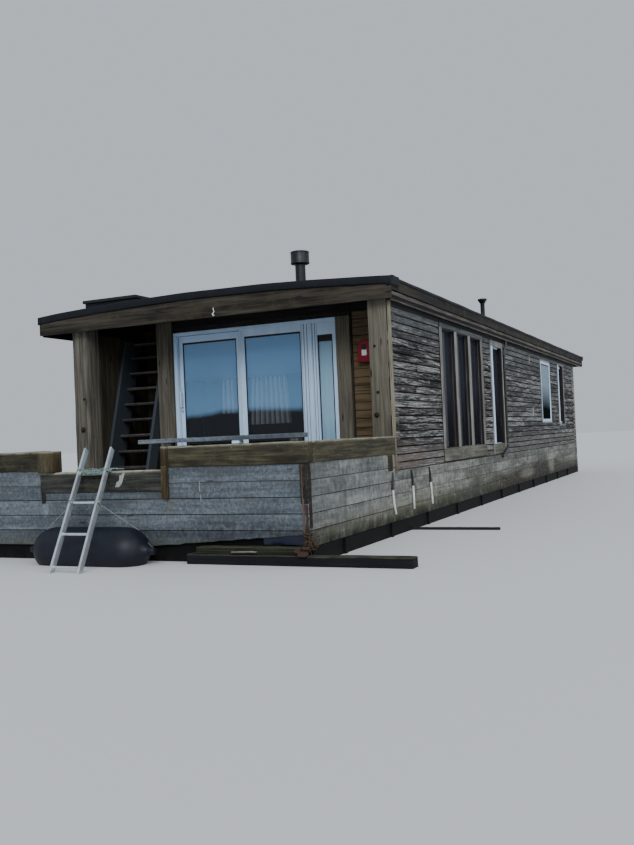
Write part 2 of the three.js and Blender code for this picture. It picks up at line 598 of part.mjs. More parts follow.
// The boarded entrance door off the port side deck, hinged inwards at its forward edge.
function addPortDoor() {
  const { y0, y1, z0, z1 } = PORT_DOOR;
  const jamb = 50;
  const clear = 6;
  const outer = PORT_WALL_X;
  const inner = PORT_WALL_X + WALL_THICKNESS;
  let frame = cut(
    block(outer, inner, y0, y1, z0, z1),
    cutter(outer - 10, inner + 10, y0 + jamb, y1 - jamb, z0 + 30, z1 - jamb));
  // The hinge line lies just inside the wall's inner face.
  const leafBack = inner - 5;
  const leafFront = leafBack - 50;
  const hingeX = inner + 12;
  const hingeY = y0 + jamb + 4;
  const pinRadius = 9;
  let leaf = block(leafFront, leafBack, y0 + jamb + clear, y1 - jamb - clear,
    z0 + 30 + clear, z1 - jamb - clear);
  const knuckle = 50;
  for (const middle of [z0 + 290, z1 - 290]) {
    leaf = join(leaf,
      bar([hingeX, hingeY, middle - knuckle / 2], [hingeX, hingeY, middle + knuckle / 2], pinRadius),
      block(leafBack - 10, hingeX + 3, hingeY, hingeY + 52, middle - knuckle / 2, middle + knuckle / 2));
    for (const side of [-1, 1]) {
      const near = middle + side * (knuckle / 2 + SEAM);
      const far = middle + side * (knuckle / 2 + SEAM + knuckle);
      const low = Math.min(near, far);
      const high = Math.max(near, far);
      frame = join(frame,
        bar([hingeX, hingeY, low], [hingeX, hingeY, high], pinRadius),
        block(inner - 10, hingeX + 3, hingeY - 44, hingeY - 4, low, high));
    }
  }
  const handleY = y1 - jamb - 66;
  const handleZ = z0 + 920;
  leaf = join(leaf,
    block(leafFront - 55, leafFront + 5, handleY - 10, handleY + 10, handleZ - 10, handleZ + 10),
    block(leafFront - 55, leafFront - 35, handleY - 105, handleY + 10, handleZ - 10, handleZ + 10));
  add('port_door_frame', frame, 'whitePlastic');
  add('port_door_leaf', leaf, 'warmBoard');
}

// The steep stair in the alcove, from the deck up to the hatch.
function addStair() {
  const steps = 9;
  const rise = 250;
  const going = 74;
  const firstTop = DECK_TOP + 155;
  const firstY = DOOR_WALL_Y - 362;
  const treadDepth = 190;
  const treadThickness = 40;
  const stringer = 50;
  const x0 = ALCOVE_PORT_X + 20;
  const x1 = ALCOVE_STARBOARD_X - 6;
  const slope = going / rise;
  const bottomZ = DECK_TOP + SEAM / 2;
  const topZ = firstTop + (steps - 1) * rise;
  const frontAt = (z) => firstY + (z - firstTop) * slope;
  const side = (before) => [
    [frontAt(bottomZ) - before, bottomZ], [frontAt(bottomZ) + treadDepth + 20, bottomZ],
    [frontAt(topZ) + treadDepth + 20, topZ], [frontAt(topZ) - before, topZ],
  ];
  // The port side is a wide board that stands well before the treads.
  let stair = join(
    prismAlongX(side(200), x0, x0 + stringer), prismAlongX(side(20), x1 - stringer, x1));
  const parts = [];
  for (let i = 0; i < steps; i += 1) {
    const top = firstTop + i * rise - (i === steps - 1 ? 20 : 0);
    const y = firstY + i * going;
    parts.push(block(x0 + 10, x1 - 10, y, y + treadDepth, top - treadThickness, top));
  }
  stair = join(stair, ...parts);
  add('stair', stair, 'greyFrame');
}

// A black rainwater pipe from the eaves to the side boards, standing off on two clips.
function addDownpipe() {
  const standOff = 32;
  const x = HULL_SIDE_X + standOff;
  const y = 85;
  const radius = 23;
  const top = FASCIA_BOTTOM - 30;
  const plateHalf = 32;
  const route = new THREE.CatmullRomCurve3([
    new THREE.Vector3(x + 28, y + 90, top - 1), new THREE.Vector3(x + 28, y + 80, top - 52),
    new THREE.Vector3(x, y + 10, top - 200), new THREE.Vector3(x, y, top - 290),
    new THREE.Vector3(x, y, 1660), new THREE.Vector3(x, y - 20, 1560),
    new THREE.Vector3(x, y - 85, 1500), new THREE.Vector3(x, y - 270, 1430),
    new THREE.Vector3(x, y - 485, 1360),
  ], false, 'centripetal');
  const section = new THREE.Shape();
  section.absarc(0, 0, radius, 0, Math.PI * 2, false);
  const geometry = new THREE.ExtrudeGeometry(section, {
    steps: 40, curveSegments: 5, bevelEnabled: false, extrudePath: route });
  let pipe = solid(geometry);
  for (const z of [1840, 3240]) {
    pipe = join(pipe,
      block(HULL_SIDE_X, x, y - 15, y + 15, z, z + 30),
      block(HULL_SIDE_X, HULL_SIDE_X + 6, y - plateHalf, y + plateHalf, z - 5, z + 35));
  }
  add('downpipe', pipe, 'blackMetal');
}

// A red box with an arched top on the front wall.
function addWallBox() {
  const x0 = 2122;
  const x1 = 2344;
  const bottom = 2914;
  const springing = 3126;
  const radius = (x1 - x0) / 2;
  const shape = new THREE.Shape();
  shape.moveTo(x0, bottom);
  shape.lineTo(x1, bottom);
  shape.lineTo(x1, springing);
  shape.absarc((x0 + x1) / 2, springing, radius, 0, Math.PI, false);
  const depth = 105;
  const geometry = new THREE.ExtrudeGeometry(shape, {
    depth: depth - SEAM, bevelEnabled: false, curveSegments: 12 });
  geometry.applyMatrix4(new THREE.Matrix4().makeBasis(
    new THREE.Vector3(1, 0, 0), new THREE.Vector3(0, 0, 1), new THREE.Vector3(0, -1, 0)));
  geometry.translate(0, DOOR_WALL_Y - SEAM / 2, 0);
  add('wall_box', solid(geometry), 'red');
}

// The aluminium ladder leans on the front edge of the lowered cap and stands out into the water.
// Its rails are flat sections with their narrow faces to the front and the back.
function addLadder() {
  const railWidth = 26;
  const railDepth = 74;
  const halfWidth = 187;
  const edgeZ = LOW_CAP_TOP - SEAM / 2;
  const edgeY = CAP_FRONT_Y + SEAM / 2;
  const edgeX = 192;
  const water = new THREE.Vector3(461, -10028, WATERLINE);
  const rise = new THREE.Vector2(edgeZ - water.z, edgeY - water.y);
  const reach = railDepth / 2 + SEAM;
  const lean = rise.angle() - Math.asin(reach / rise.length());
  const bearing = new THREE.Vector3(edgeX, edgeY - reach / Math.cos(lean), edgeZ);
  const down = water.clone().sub(bearing).normalize();
  const above = 340;
  const below = 1790;
  const at = (distance, x) => bearing.clone().addScaledVector(down, distance)
    .add(new THREE.Vector3(x, 0, 0)).toArray();
  const inward = new THREE.Vector3().crossVectors(new THREE.Vector3(1, 0, 0), down).normalize();
  const sideways = new THREE.Vector3().crossVectors(down, inward);
  const turn = new THREE.Matrix4().makeBasis(sideways, down, inward);
  const rails = [-halfWidth, halfWidth].map((x) => {
    const geometry = new THREE.BoxGeometry(railWidth, above + below, railDepth);
    geometry.applyMatrix4(turn);
    geometry.translate(...at((below - above) / 2, x));
    return solid(geometry);
  });
  let ladder = join(...rails);
  const rungs = 5;
  const rungPitch = 425;
  const firstRung = 20;
  for (let i = 0; i < rungs; i += 1) {
    const distance = firstRung + i * rungPitch;
    ladder = join(ladder, bar(at(distance, -halfWidth), at(distance, halfWidth), 15, 8));
  }
  add('ladder', ladder, 'aluminium');
}

// The long inflated fender that lies against the bow.
function addFender() {
  const radius = 258;
  const sides = 24;
  const half = 866;
  const centreX = 274;
  const centreY = BOW_Y - radius * Math.cos(Math.PI / sides) - SEAM / 2;
  const centreZ = 726;
  // radius and distance from the middle, from the waist out to the tip
  const end = [[radius, 490], [225, 620], [130, 750], [40, 800], [35, half]];
  const profile = [...end.map(([r, h]) => [r, -h]).reverse(), ...end];
  const points = [[0, -half], ...profile, [0, half]].map(([r, h]) => new THREE.Vector2(r, h));
  const geometry = new THREE.LatheGeometry(points, sides);
  geometry.rotateZ(Math.PI / 2);
  geometry.translate(centreX, centreY, centreZ);
  add('fender', solid(geometry), 'rubber');
}

// A gangplank lies along the bow's sleeper on three spacers.
function addGangplank() {
  const x0 = 795;
  const x1 = 2830;
  const width = 190;
  const thickness = 47;
  const spacerWidth = 90;
  const bottom = CAP_TOP + 38;
  let plank = block(x0, x1, CAP_FRONT_Y, CAP_FRONT_Y + width, bottom, bottom + thickness);
  for (const x of [1130, 2000, 2700]) {
    plank = join(plank, block(x, x + spacerWidth, CAP_FRONT_Y + 20, CAP_BACK_Y - 10, CAP_TOP, bottom + 5));
  }
  add('gangplank', plank, 'silverBoard');
}

// Three curtains hang behind the glazed doors, from a rail on the back of the header.
function addCurtains() {
  const railFront = DOOR_WALL_Y + WALL_THICKNESS;
  const railBack = railFront + 75;
  const railBottom = DOOR_HEAD + 35;
  const railTop = DOOR_HEAD + 65;
  const clothFront = railFront + 20;
  let curtains = block(-900, 1740, railFront, railBack, railBottom, railTop);
  // x0, x1, hem
  const cloths = [[-250, 60, 2050], [330, 1010, 1930], [1400, 1735, 1600]];
  for (const [left, right, hem] of cloths) {
    curtains = join(curtains, block(left, right, clothFront, railBack, hem, railBottom + 5));
  }
  add('curtains', curtains, 'curtain');
}

// Two timbers run out to starboard at the waterline, one across the bow and one from the side.
// A shorter timber lies on the bow's one, under the boards.
function addSpars() {
  const beamFront = BOW_CORE_Y - 175;
  const beamTop = WATERLINE + 107;
  const lower = block(1445, 4025, beamFront, BOW_CORE_Y, WATERLINE - 60, beamTop);
  const upper = block(1557, 2800, beamFront + 20, BOW_CORE_Y, beamTop - 10, beamTop + 80);
  add('bow_beam', join(lower, upper), 'fascia');
  const poleY = -5820;
  const poleEndX = 4085;
  const poleRadius = 36;
  const poleStart = [HULL_SIDE_X + SEAM / 2, poleY, WATERLINE];
  add('side_pole', bar(poleStart, [poleEndX, poleY, WATERLINE], poleRadius, 10), 'fascia');
}

addHull();
addHullBoards();
addDeck();
addBulwarkCaps();
addPosts();
addWalls();
addRoof();
addFascias();
addHatch();
addRoofPipes();
addFrontDoors();
addWindows();
addPortDoor();
addStair();
addDownpipe();
addWallBox();
addLadder();
addFender();
addGangplank();
addCurtains();
addSpars();

export default model;
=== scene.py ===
"""Dresses a timber-clad houseboat with boards, sleepers, felt, glass, curtains and fittings.

Metres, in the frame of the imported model: +Z up, +X to starboard, the bow towards -Y.
"""

import math
import random

import bmesh
import bpy
from bpy.props import FloatProperty, FloatVectorProperty, IntProperty, PointerProperty
from mathutils import Matrix, Vector, noise


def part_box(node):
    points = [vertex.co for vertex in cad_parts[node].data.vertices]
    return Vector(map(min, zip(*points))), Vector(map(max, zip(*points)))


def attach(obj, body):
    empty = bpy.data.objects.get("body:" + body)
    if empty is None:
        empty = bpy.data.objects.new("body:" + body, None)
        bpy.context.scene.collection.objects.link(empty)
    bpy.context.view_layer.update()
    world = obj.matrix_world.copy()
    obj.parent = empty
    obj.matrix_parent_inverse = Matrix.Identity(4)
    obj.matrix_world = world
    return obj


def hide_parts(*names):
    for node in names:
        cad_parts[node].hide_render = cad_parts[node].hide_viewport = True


bl_info = {
    "name": "Timber Houseboat Dressing",
    "version": (1, 0, 0),
    "blender": (4, 5, 0),
    "location": "View3D > Sidebar > Houseboat",
    "description": "Boards, timbers, felt, glass and fittings for a timber-clad houseboat",
    "category": "Object",
}

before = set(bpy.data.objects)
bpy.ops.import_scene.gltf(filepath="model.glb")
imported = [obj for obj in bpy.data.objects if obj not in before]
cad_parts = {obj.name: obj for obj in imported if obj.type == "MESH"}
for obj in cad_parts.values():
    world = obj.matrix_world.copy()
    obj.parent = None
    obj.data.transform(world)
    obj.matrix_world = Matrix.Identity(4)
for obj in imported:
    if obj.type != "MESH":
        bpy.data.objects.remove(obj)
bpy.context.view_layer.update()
boxes = {name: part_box(name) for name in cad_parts}
finishes = {}

# Each step seeds this again and draws from it in a fixed order.
draw = random.Random()

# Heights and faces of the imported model.
WATERLINE = 0.57
BOARD_BOTTOM = boxes["boards_starboard"][0].z
DECK_TOP = boxes["deck"][1].z
BULWARK_TOP = boxes["boards_starboard"][1].z
CEILING = boxes["wall_starboard"][1].z
SIDE_X = boxes["wall_starboard"][1].x
PORT_X = boxes["wall_port"][0].x
BOW_Y = boxes["boards_bow"][0].y
CAP_FRONT_Y = boxes["cap_ladder"][0].y
STERN_Y = boxes["boards_stern"][1].y
CABIN_FRONT_Y = boxes["wall_starboard"][0].y
CABIN_AFT_Y = boxes["wall_starboard"][1].y
DOOR_WALL_Y = boxes["wall_front"][0].y
LEAF_FACE_Y = boxes["front_door_leaf_glass"][0].y - 0.012
ROOF_LOW, ROOF_HIGH = boxes["roof"]
ROOF_MIDDLE = (ROOF_LOW.x + ROOF_HIGH.x) / 2
ROOF_HALF = (ROOF_HIGH.x - ROOF_LOW.x) / 2
ROOF_EDGE_TOP = 3.915
ROOF_CROWN_TOP = 4.020
# The felt's black band at the roof's ends, and how far it wraps round each corner.
FELT_BAND = 0.095
CORNER_WRAP = 0.300
NARROW_SILL_TOP = boxes["narrow_window_frame"][0].z + 0.19
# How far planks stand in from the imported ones, and reach up into the sleepers.
PLANK_INSET = 0.0003
PLANK_TUCK = 0.012

# The photograph's camera.
CAMERA_PLACE = (6.854, -17.519, 1.887)
CAMERA_YAW = math.radians(24.5)
CAMERA_PITCH = math.radians(0.92)
CAMERA_ROLL = math.radians(2.5)
CAMERA_LENS = 38.34


def linear(shade):
    """An sRGB hex colour, or a property's colour, as a linear colour with alpha."""
    if not isinstance(shade, str):
        return (*shade[:3], 1.0)
    channels = [int(shade[i:i + 2], 16) / 255 for i in (1, 3, 5)]
    return (*(c / 12.92 if c <= 0.04045 else ((c + 0.055) / 1.055) ** 2.4 for c in channels), 1.0)


def colour_property(name, description, shade):
    return FloatVectorProperty(
        name=name, description=description, subtype="COLOR", size=3,
        min=0.0, max=1.0, default=linear(shade)[:3])


def length_property(name, description, default):
    return FloatProperty(name=name, description=description, default=default, unit="LENGTH")


class HouseboatSizes(bpy.types.PropertyGroup):
    """Sizes of the boards and timbers that dress the boat."""

    plank_height: length_property("Plank height", "Height of a hull side plank", 0.175)
    cladding_height: length_property("Cladding height", "Height of a cabin cladding board", 0.104)
    cladding_depth: length_property("Cladding depth", "Thickness of a cabin cladding board", 0.028)
    deck_board_width: length_property("Deck board width", "Width of a deck board", 0.14)
    board_gap: length_property("Board gap", "Gap between neighbouring boards", 0.004)
    timber_wear: length_property("Timber wear", "How far a sleeper's faces wander", 0.005)
    felt_lap: length_property("Felt lap", "Distance between the roof felt's laps", 0.95)
    curtain_fold: length_property("Curtain fold", "Width of one fold of a curtain", 0.085)
    seed: IntProperty(name="Seed", description="Start of the random draws", default=7, min=0)


class HouseboatColours(bpy.types.PropertyGroup):
    """Colours of the boat's finishes."""

    silver: colour_property("Silvered wood", "Weathered softwood", "#757e86")
    silver_dark: colour_property("Silvered wood in the grain", "Dark grain of weathered wood", "#31373c")
    stain: colour_property("Old stain", "What is left of the cladding's dark stain", "#1f1c1e")
    algae: colour_property("Algae", "Green growth near the water", "#3d4226")
    sleeper: colour_property("Sleeper", "Old sleeper timber", "#38352a")
    moss: colour_property("Moss", "Moss on the timbers", "#4b4c36")
    post: colour_property("Post", "Treated softwood post", "#56534a")
    warm: colour_property("Sheltered board", "Brown board in the porch", "#62543f")
    felt: colour_property("Roofing felt", "Bitumen felt", "#13161c")
    fascia: colour_property("Fascia", "Dark weathered fascia", "#36322b")
    white: colour_property("White frame", "Moulded white plastic", "#c2dcf8")
    glass: colour_property("Glass", "Tint of the panes", "#79acd8")
    stringer: colour_property("Stair paint", "Blue-grey paint of the stair", "#2b323a")
    navy: colour_property("Fender", "Navy fender skin", "#090d18")
    red: colour_property("Box", "Red box in the porch", "#7c0420")
    rust: colour_property("Rust", "Rust and rotten wood", "#3a261c")
    rope: colour_property("Rope", "Blue-green rope", "#3c5152")
    floor: colour_property("Floor", "Pale studio floor", "#d9dadb")


def node(tree, kind, settings=None, links=None):
    """Adds a node with its settings, each a property, a socket or a ramp's stops, and its links."""
    made = tree.nodes.new("ShaderNode" + kind)
    for key, value in (settings or {}).items():
        if key == "stops":
            ramp = made.color_ramp.elements
            ramp[0].position, ramp[0].color = value[0][0], linear(value[0][1])
            ramp[1].position, ramp[1].color = value[-1][0], linear(value[-1][1])
            for place, shade in value[1:-1]:
                ramp.new(place).color = linear(shade)
        elif isinstance(key, str) and hasattr(made, key):
            setattr(made, key, value)
        else:
            made.inputs[key].default_value = value
    for key, socket in (links or {}).items():
        tree.links.new(socket, made.inputs[key])
    return made


def pattern(tree, vector, cells, low=0.35, high=0.65, detail=4.0, roughness=0.6, place=0.0):
    """A cloudy pattern from 0 to 1, with so many cells to the metre on each axis."""
    mapped = node(tree, "Mapping", {"Scale": cells, "Location": (place, place * 0.7, place * 0.3)},
                  {"Vector": vector})
    cloud = node(tree, "TexNoise", {"Scale": 1.0, "Detail": detail, "Roughness": roughness},
                 {"Vector": mapped.outputs[0]})
    spread = node(tree, "MapRange", {"From Min": low, "From Max": high}, {"Value": cloud.outputs[0]})
    return spread.outputs[0]


def over(tree, base, amount, shade, strength=1.0):
    """A shade laid over a shade or a colour by an amount from 0 to 1, at most at that strength."""
    scaled = node(tree, "Math", {"operation": "MULTIPLY", 1: strength}, {0: amount})
    settings, links = {"data_type": "RGBA", 7: linear(shade)}, {0: scaled.outputs[0]}
    if isinstance(base, bpy.types.NodeSocket):
        links[6] = base
    else:
        settings[6] = linear(base)
    return node(tree, "Mix", settings, links).outputs[2]


def ragged(tree, place, signal, full, none, cells, low=0.35, high=0.6, seed=0.0):
    """1 where a signal is at and beyond full, 0 at and beyond none, broken up by a cloudy pattern."""
    faded = node(tree, "MapRange", {"From Min": none, "From Max": full}, {"Value": signal})
    cloud = pattern(tree, place, cells, low, high, 5.0, 0.7, seed)
    return node(tree, "Math", {"operation": "MULTIPLY"}, {0: faded.outputs[0], 1: cloud}).outputs[0]


def start_material(name):
    material = bpy.data.materials.new(name)
    material.use_nodes = True
    material.node_tree.nodes.clear()
    return material, material.node_tree


def end_material(tree, settings, links):
    shader = node(tree, "BsdfPrincipled", settings, links)
    node(tree, "OutputMaterial", None, {"Surface": shader.outputs[0]})


GRAIN_AXES = {"X": (0, 1, 1), "Y": (1, 0, 1), "Z": (1, 1, 0)}


def along_grain(grain, along, across):
    """Cells to the metre on each axis, for a grain that runs along one of them."""
    return tuple(across if cross else along for cross in GRAIN_AXES[grain])


def spot(tree, place, centre, reach):
    """1 round a place on the boat, ragged, and 0 from its reach on."""
    moved = node(tree, "Mapping", {"Scale": tuple(1 / r for r in reach),
                                   "Location": tuple(-c / r for c, r in zip(centre, reach))},
                 {"Vector": place})
    away = node(tree, "VectorMath", {"operation": "LENGTH"}, {0: moved.outputs[0]}).outputs["Value"]
    return ragged(tree, place, away, 0.45, 1.0, (16.0, 16.0, 16.0), seed=17.0)


def wood(finish, name, grain, stops, fibre=(2.5, 60.0), patch=(0.8, 2.5), weights=(0.45, 0.35, 0.2),
         contrast=(0.36, 0.64), grit=None, knots=None, drips=None, bands=(), crown=None,
         stains=(), spots=(), roughness=0.85, bump=0.004):
    """A weathered timber. Its tone sums fibre, patches and each board's own level, and a ramp colours it.

    fibre and patch are cells to the metre along and across the grain, and grit is a weight and cells.
    Real grain lines lie 1 to 5 mm apart and saw marks 5 mm, too fine to show, so the lines are drawn
    13 to 38 mm apart and the marks 17 to 77 mm. knots is a shade and a strength, drips the same and
    cells, bands hold shade, full height, height with none and strength, crown is a shade and strength
    on faces that look up, worn there and a painted highlight of the light from above, stains hold shade,
    cells, low, high and strength, and spots hold shade, centre, reach and strength.
    """
    material, tree = start_material(name)
    place = node(tree, "TexCoord").outputs["Object"]
    shift = node(tree, "Attribute", {"attribute_name": "shift"}).outputs["Vector"]
    tone = node(tree, "Attribute", {"attribute_name": "tone"}).outputs["Fac"]
    own = node(tree, "VectorMath", {"operation": "ADD"}, {0: place, 1: shift}).outputs[0]
    height = node(tree, "SeparateXYZ", None, {0: place}).outputs[2]
    fibres = pattern(tree, own, along_grain(grain, *fibre), *contrast, 6.0, 0.65)
    patches = pattern(tree, own, along_grain(grain, *patch), 0.3, 0.7, 3.0, 0.5, 5.0)
    signals = [(weights[1], patches), (weights[2], tone)]
    if grit:
        signals.append((grit[0], pattern(tree, place, grit[1], 0.35, 0.65, 4.0, 0.7, 8.0)))
    total = node(tree, "Math", {"operation": "MULTIPLY", 1: weights[0]}, {0: fibres}).outputs[0]
    for weight, signal in signals:
        total = node(tree, "Math", {"operation": "MULTIPLY_ADD", 1: weight},
                     {0: signal, 2: total}).outputs[0]
    colour = node(tree, "ValToRGB", {"stops": stops}, {0: total}).outputs[0]
    for shade, cells, low, high, strength in stains:
        blot = pattern(tree, own, cells, low, high, 5.0, 0.7, 11.0)
        colour = over(tree, colour, blot, shade, strength)
    if drips:
        shade, strength, cells = drips
        runs = pattern(tree, place, cells, 0.5, 0.72, 4.0, 0.7, 3.0)
        colour = over(tree, colour, runs, shade, strength)
    if knots:
        shade, strength = knots
        cells = node(tree, "Mapping", {"Scale": along_grain(grain, 1.6, 7.0)}, {"Vector": own})
        dots = node(tree, "TexVoronoi", {"Scale": 1.0}, {"Vector": cells.outputs[0]}).outputs["Distance"]
        eyes = node(tree, "MapRange", {"From Min": 0.13, "From Max": 0.05}, {"Value": dots}).outputs[0]
        colour = over(tree, colour, eyes, shade, strength)
    for shade, full, none, strength in bands:
        growth = ragged(tree, place, height, full, none, (7.0, 7.0, 4.0), 0.3, 0.6, 21.0)
        colour = over(tree, colour, growth, shade, strength)
    for shade, centre, reach, strength in spots:
        colour = over(tree, colour, spot(tree, place, centre, reach), shade, strength)
    # Faces that look up are paler: wear, and a painted highlight of the light from above.
    if crown:
        shade, strength = crown
        normal = node(tree, "NewGeometry").outputs["Normal"]
        up = node(tree, "SeparateXYZ", None, {0: normal}).outputs[2]
        worn_and_lit_top = ragged(tree, place, up, 0.6, 0.15, (6.0, 6.0, 6.0), 0.3, 0.55, 31.0)
        colour = over(tree, colour, worn_and_lit_top, shade, strength)
    grainy = node(tree, "Bump", {"Strength": 0.6, "Distance": bump}, {"Height": fibres}).outputs[0]
    end_material(tree, {"Roughness": roughness, "Specular IOR Level": 0.25},
                 {"Base Color": colour, "Normal": grainy})
    finishes[finish] = material


def coating(finish, name, shade, worn_shade, roughness, metallic=0.0, cells=(6.0, 6.0, 6.0),
            spread=(0.45, 0.7), strength=0.5, bump=0.0, grime=None, more=None):
    """A plain coated, moulded or metal surface with clouds of wear. grime is a shade and two heights.

    cells are to the metre, so 5 of them are 200 mm each, and the bump has 12 to each cell.
    """
    material, tree = start_material(name)
    place = node(tree, "TexCoord").outputs["Object"]
    clouds = pattern(tree, place, cells, *spread, 5.0, 0.65)
    colour = over(tree, shade, clouds, worn_shade, strength)
    if grime:
        dirt, full, none = grime
        height = node(tree, "SeparateXYZ", None, {0: place}).outputs[2]
        marks = ragged(tree, place, height, full, none, (9.0, 9.0, 3.0), 0.35, 0.65, 9.0)
        colour = over(tree, colour, marks, dirt, 0.9)
    links = {"Base Color": colour}
    if bump:
        fine = pattern(tree, place, tuple(c * 12 for c in cells), 0.3, 0.7, 4.0, 0.6, 2.0)
        links["Normal"] = node(tree, "Bump", {"Strength": 0.5, "Distance": bump},
                               {"Height": fine}).outputs[0]
    end_material(tree, {"Roughness": roughness, "Metallic": metallic, **(more or {})}, links)
    finishes[finish] = material


def mix_finishes(tint):
    """Makes every material of the boat."""
    # Softwood planks, sawn and never painted, that the weather has turned silver, with saw marks,
    # green near the water. The ends of the hull are bluer and evener, the sides warmer and streaked.
    wood("plank_end", "silvered_softwood_plank_end", "X",
         [(0.15, tint.silver_dark), (0.5, "#50575e"), (0.85, tint.silver)],
         (1.6, 30.0), (0.9, 5.0), (0.2, 0.32, 0.2), grit=(0.3, (42.0, 42.0, 30.0)),
         knots=("#2b2c2c", 0.8), drips=("#3f474e", 0.3, (4.0, 4.0, 0.8)),
         bands=[(tint.algae, 0.74, 0.86, 0.8)],
         stains=[("#4d4a47", (1.6, 1.6, 3.5), 0.5, 0.68, 0.5),
                 ("#24282b", (45.0, 45.0, 30.0), 0.56, 0.7, 0.55),
                 ("#8d959a", (38.0, 38.0, 26.0), 0.64, 0.74, 0.4)],
         spots=[("#2b2a2f", (2.0, BOW_Y, 0.90), (1.5, 0.2, 0.15), 0.7),
                ("#8b9296", (-0.585, BOW_Y, 1.16), (0.06, 0.2, 0.13), 0.7),
                ("#5d5747", (1.18, BOW_Y, 1.17), (0.06, 0.2, 0.14), 0.7)])
    wood("plank_side", "silvered_softwood_plank_side", "Y",
         [(0.15, "#343431"), (0.5, "#6c6d69"), (0.85, "#9e9f99")],
         (1.2, 26.0), (0.9, 4.0), (0.2, 0.38, 0.2), grit=(0.32, (17.0, 17.0, 13.0)),
         knots=("#2a2824", 0.8), drips=("#2f2e29", 0.55, (6.0, 6.0, 0.7)),
         bands=[(tint.algae, 0.78, 1.02, 0.8), ("#5c5138", 0.9, 1.25, 0.35), ("#15160f", 0.77, 0.90, 0.95)],
         stains=[("#3a3932", (1.3, 1.3, 2.6), 0.48, 0.66, 0.45),
                 ("#26251f", (34.0, 34.0, 24.0), 0.58, 0.7, 0.5),
                 ("#9c9c94", (30.0, 30.0, 22.0), 0.64, 0.74, 0.45)],
         spots=[("#6c757c", (SIDE_X, -8.3, 1.35), (1.0, 2.6, 0.6), 0.4),
                ("#33342f", (SIDE_X, -1.4, 0.82), (1.0, 4.2, 0.26), 0.8),
                ("#2a2923", (SIDE_X, 5.0, 0.86), (1.0, 7.0, 0.32), 0.85),
                ("#2c2018", (SIDE_X, 0.6, 0.84), (1.0, 2.0, 0.24), 0.9),
                ("#211c16", (SIDE_X, 3.4, 0.95), (1.0, 1.6, 0.34), 0.9),
                ("#8f8f86", (SIDE_X, 4.9, 1.05), (1.0, 0.5, 0.34), 0.7),
                ("#8a897e", (SIDE_X, 2.0, 0.92), (1.0, 1.0, 0.12), 0.7)])
    # Softwood cladding whose dark stain is flaking off in long streaks to silvered wood.
    flaking = [(0.30, "#0d0c0d"), (0.46, tint.stain), (0.58, "#3b3838"), (0.70, "#686765"),
               (0.92, "#a3a4a3")]
    for grain, place in (("Y", "side"), ("X", "end")):
        wood(f"cladding_{place}", f"stained_softwood_cladding_{place}", grain, flaking, (2.0, 75.0),
             (0.6, 1.4), (0.5, 0.26, 0.2), (0.39, 0.61), grit=(0.26, along_grain(grain, 9.0, 60.0)),
             knots=("#141213", 0.8), stains=[("#4a3832", along_grain(grain, 1.2, 6.0), 0.56, 0.7, 0.5)],
             bands=[("#5c6063", 3.42, 3.12, 0.85), ("#67635f", 1.60, 1.85, 0.8)],
             spots=[("#565859", (SIDE_X, 3.6, 2.6), (1.0, 4.6, 2.0), 0.45),
                    ("#7b6258", (SIDE_X, CABIN_FRONT_Y + 0.5, 1.54), (0.5, 1.2, 0.16), 0.45)], bump=0.006)
    # Backing and inner faces of the walls, painted dark: painted shade in the gaps between the boards and
    # inside the cabin.
    wood("wall_core", "sawn_softwood_studwork", "Z", [(0.2, "#151210"), (0.8, "#35302b")],
         knots=("#0f0d0b", 0.6))
    # Old hardwood sleepers, sawn, cracked and mossy, with flecks of lichen, and pale upper edges and tops,
    # partly worn and partly a painted highlight of the light from above.
    aged = [(0.15, "#1b1a16"), (0.85, "#57533f")]
    low_top = boxes["cap_ladder"][1].z
    high_top = boxes["cap_starboard"][1].z
    flecks = ("#a8a797", (24.0, 24.0, 24.0), 0.66, 0.74, 0.7)
    for grain, middle in (("X", tint.sleeper), ("Y", tint.sleeper), ("Z", "#3f3220")):
        wood(f"sleeper_{grain}", f"old_sleeper_oak_{grain}", grain, [aged[0], (0.5, middle), aged[1]],
             (2.0, 34.0), (1.2, 4.0), knots=("#17150f", 0.85), crown=("#9a9886", 0.8),
             bands=[("#8f8d79", high_top, high_top - 0.035, 0.8)],
             stains=[(tint.moss, (5.0, 5.0, 5.0), 0.48, 0.66, 0.5),
                     ("#1d1913", along_grain(grain, 1.5, 6.0), 0.48, 0.64, 0.7), flecks], bump=0.007)
    wood("sleeper_low", "old_sleeper_oak_wet", "X", [(0.15, "#191a18"), (0.5, "#353633"), (0.85, "#55554f")],
         (2.0, 34.0), (1.2, 4.0), knots=("#121210", 0.85), crown=("#a5a392", 0.95),
         bands=[("#9b9987", low_top, low_top - 0.035, 0.9)],
         stains=[("#45432f", (4.0, 4.0, 4.0), 0.5, 0.68, 0.5), flecks], bump=0.007)
    # Pressure-treated softwood posts, greenish buff, with knots and long drying cracks. The port post's copy
    # is lighter, a painted light where the key light reaches it less.
    for finish, name, dark, middle, pale in (("post", "treated", "#3c3a31", tint.post, "#706c5e"),
                                             ("post_lit_copy", "lit_copy", "#413f38", "#68655b", "#827f72")):
        wood(finish, f"{name}_softwood_post", "Z", [(0.15, dark), (0.5, middle), (0.85, pale)],
             (1.3, 30.0), (0.6, 3.0), knots=("#1d1912", 0.9), bump=0.006)
    # Sheltered softwood boards that kept some of their brown oil.
    for grain in "XZ":
        wood(f"warm_{grain}", f"oiled_softwood_board_{grain}", grain,
             [(0.15, "#33281d"), (0.5, tint.warm), (0.9, "#705c45")], (1.8, 40.0), (0.6, 4.0),
             knots=("#1f140c", 0.85))
    # The alcove's boards, oiled too, dulled and green-brown in the damp.
    wood("alcove", "damp_softwood_board", "Z", [(0.15, "#161510"), (0.5, "#2c291f"), (0.9, "#443e2d")],
         (1.8, 40.0), (0.6, 4.0), knots=("#0f0d09", 0.85))
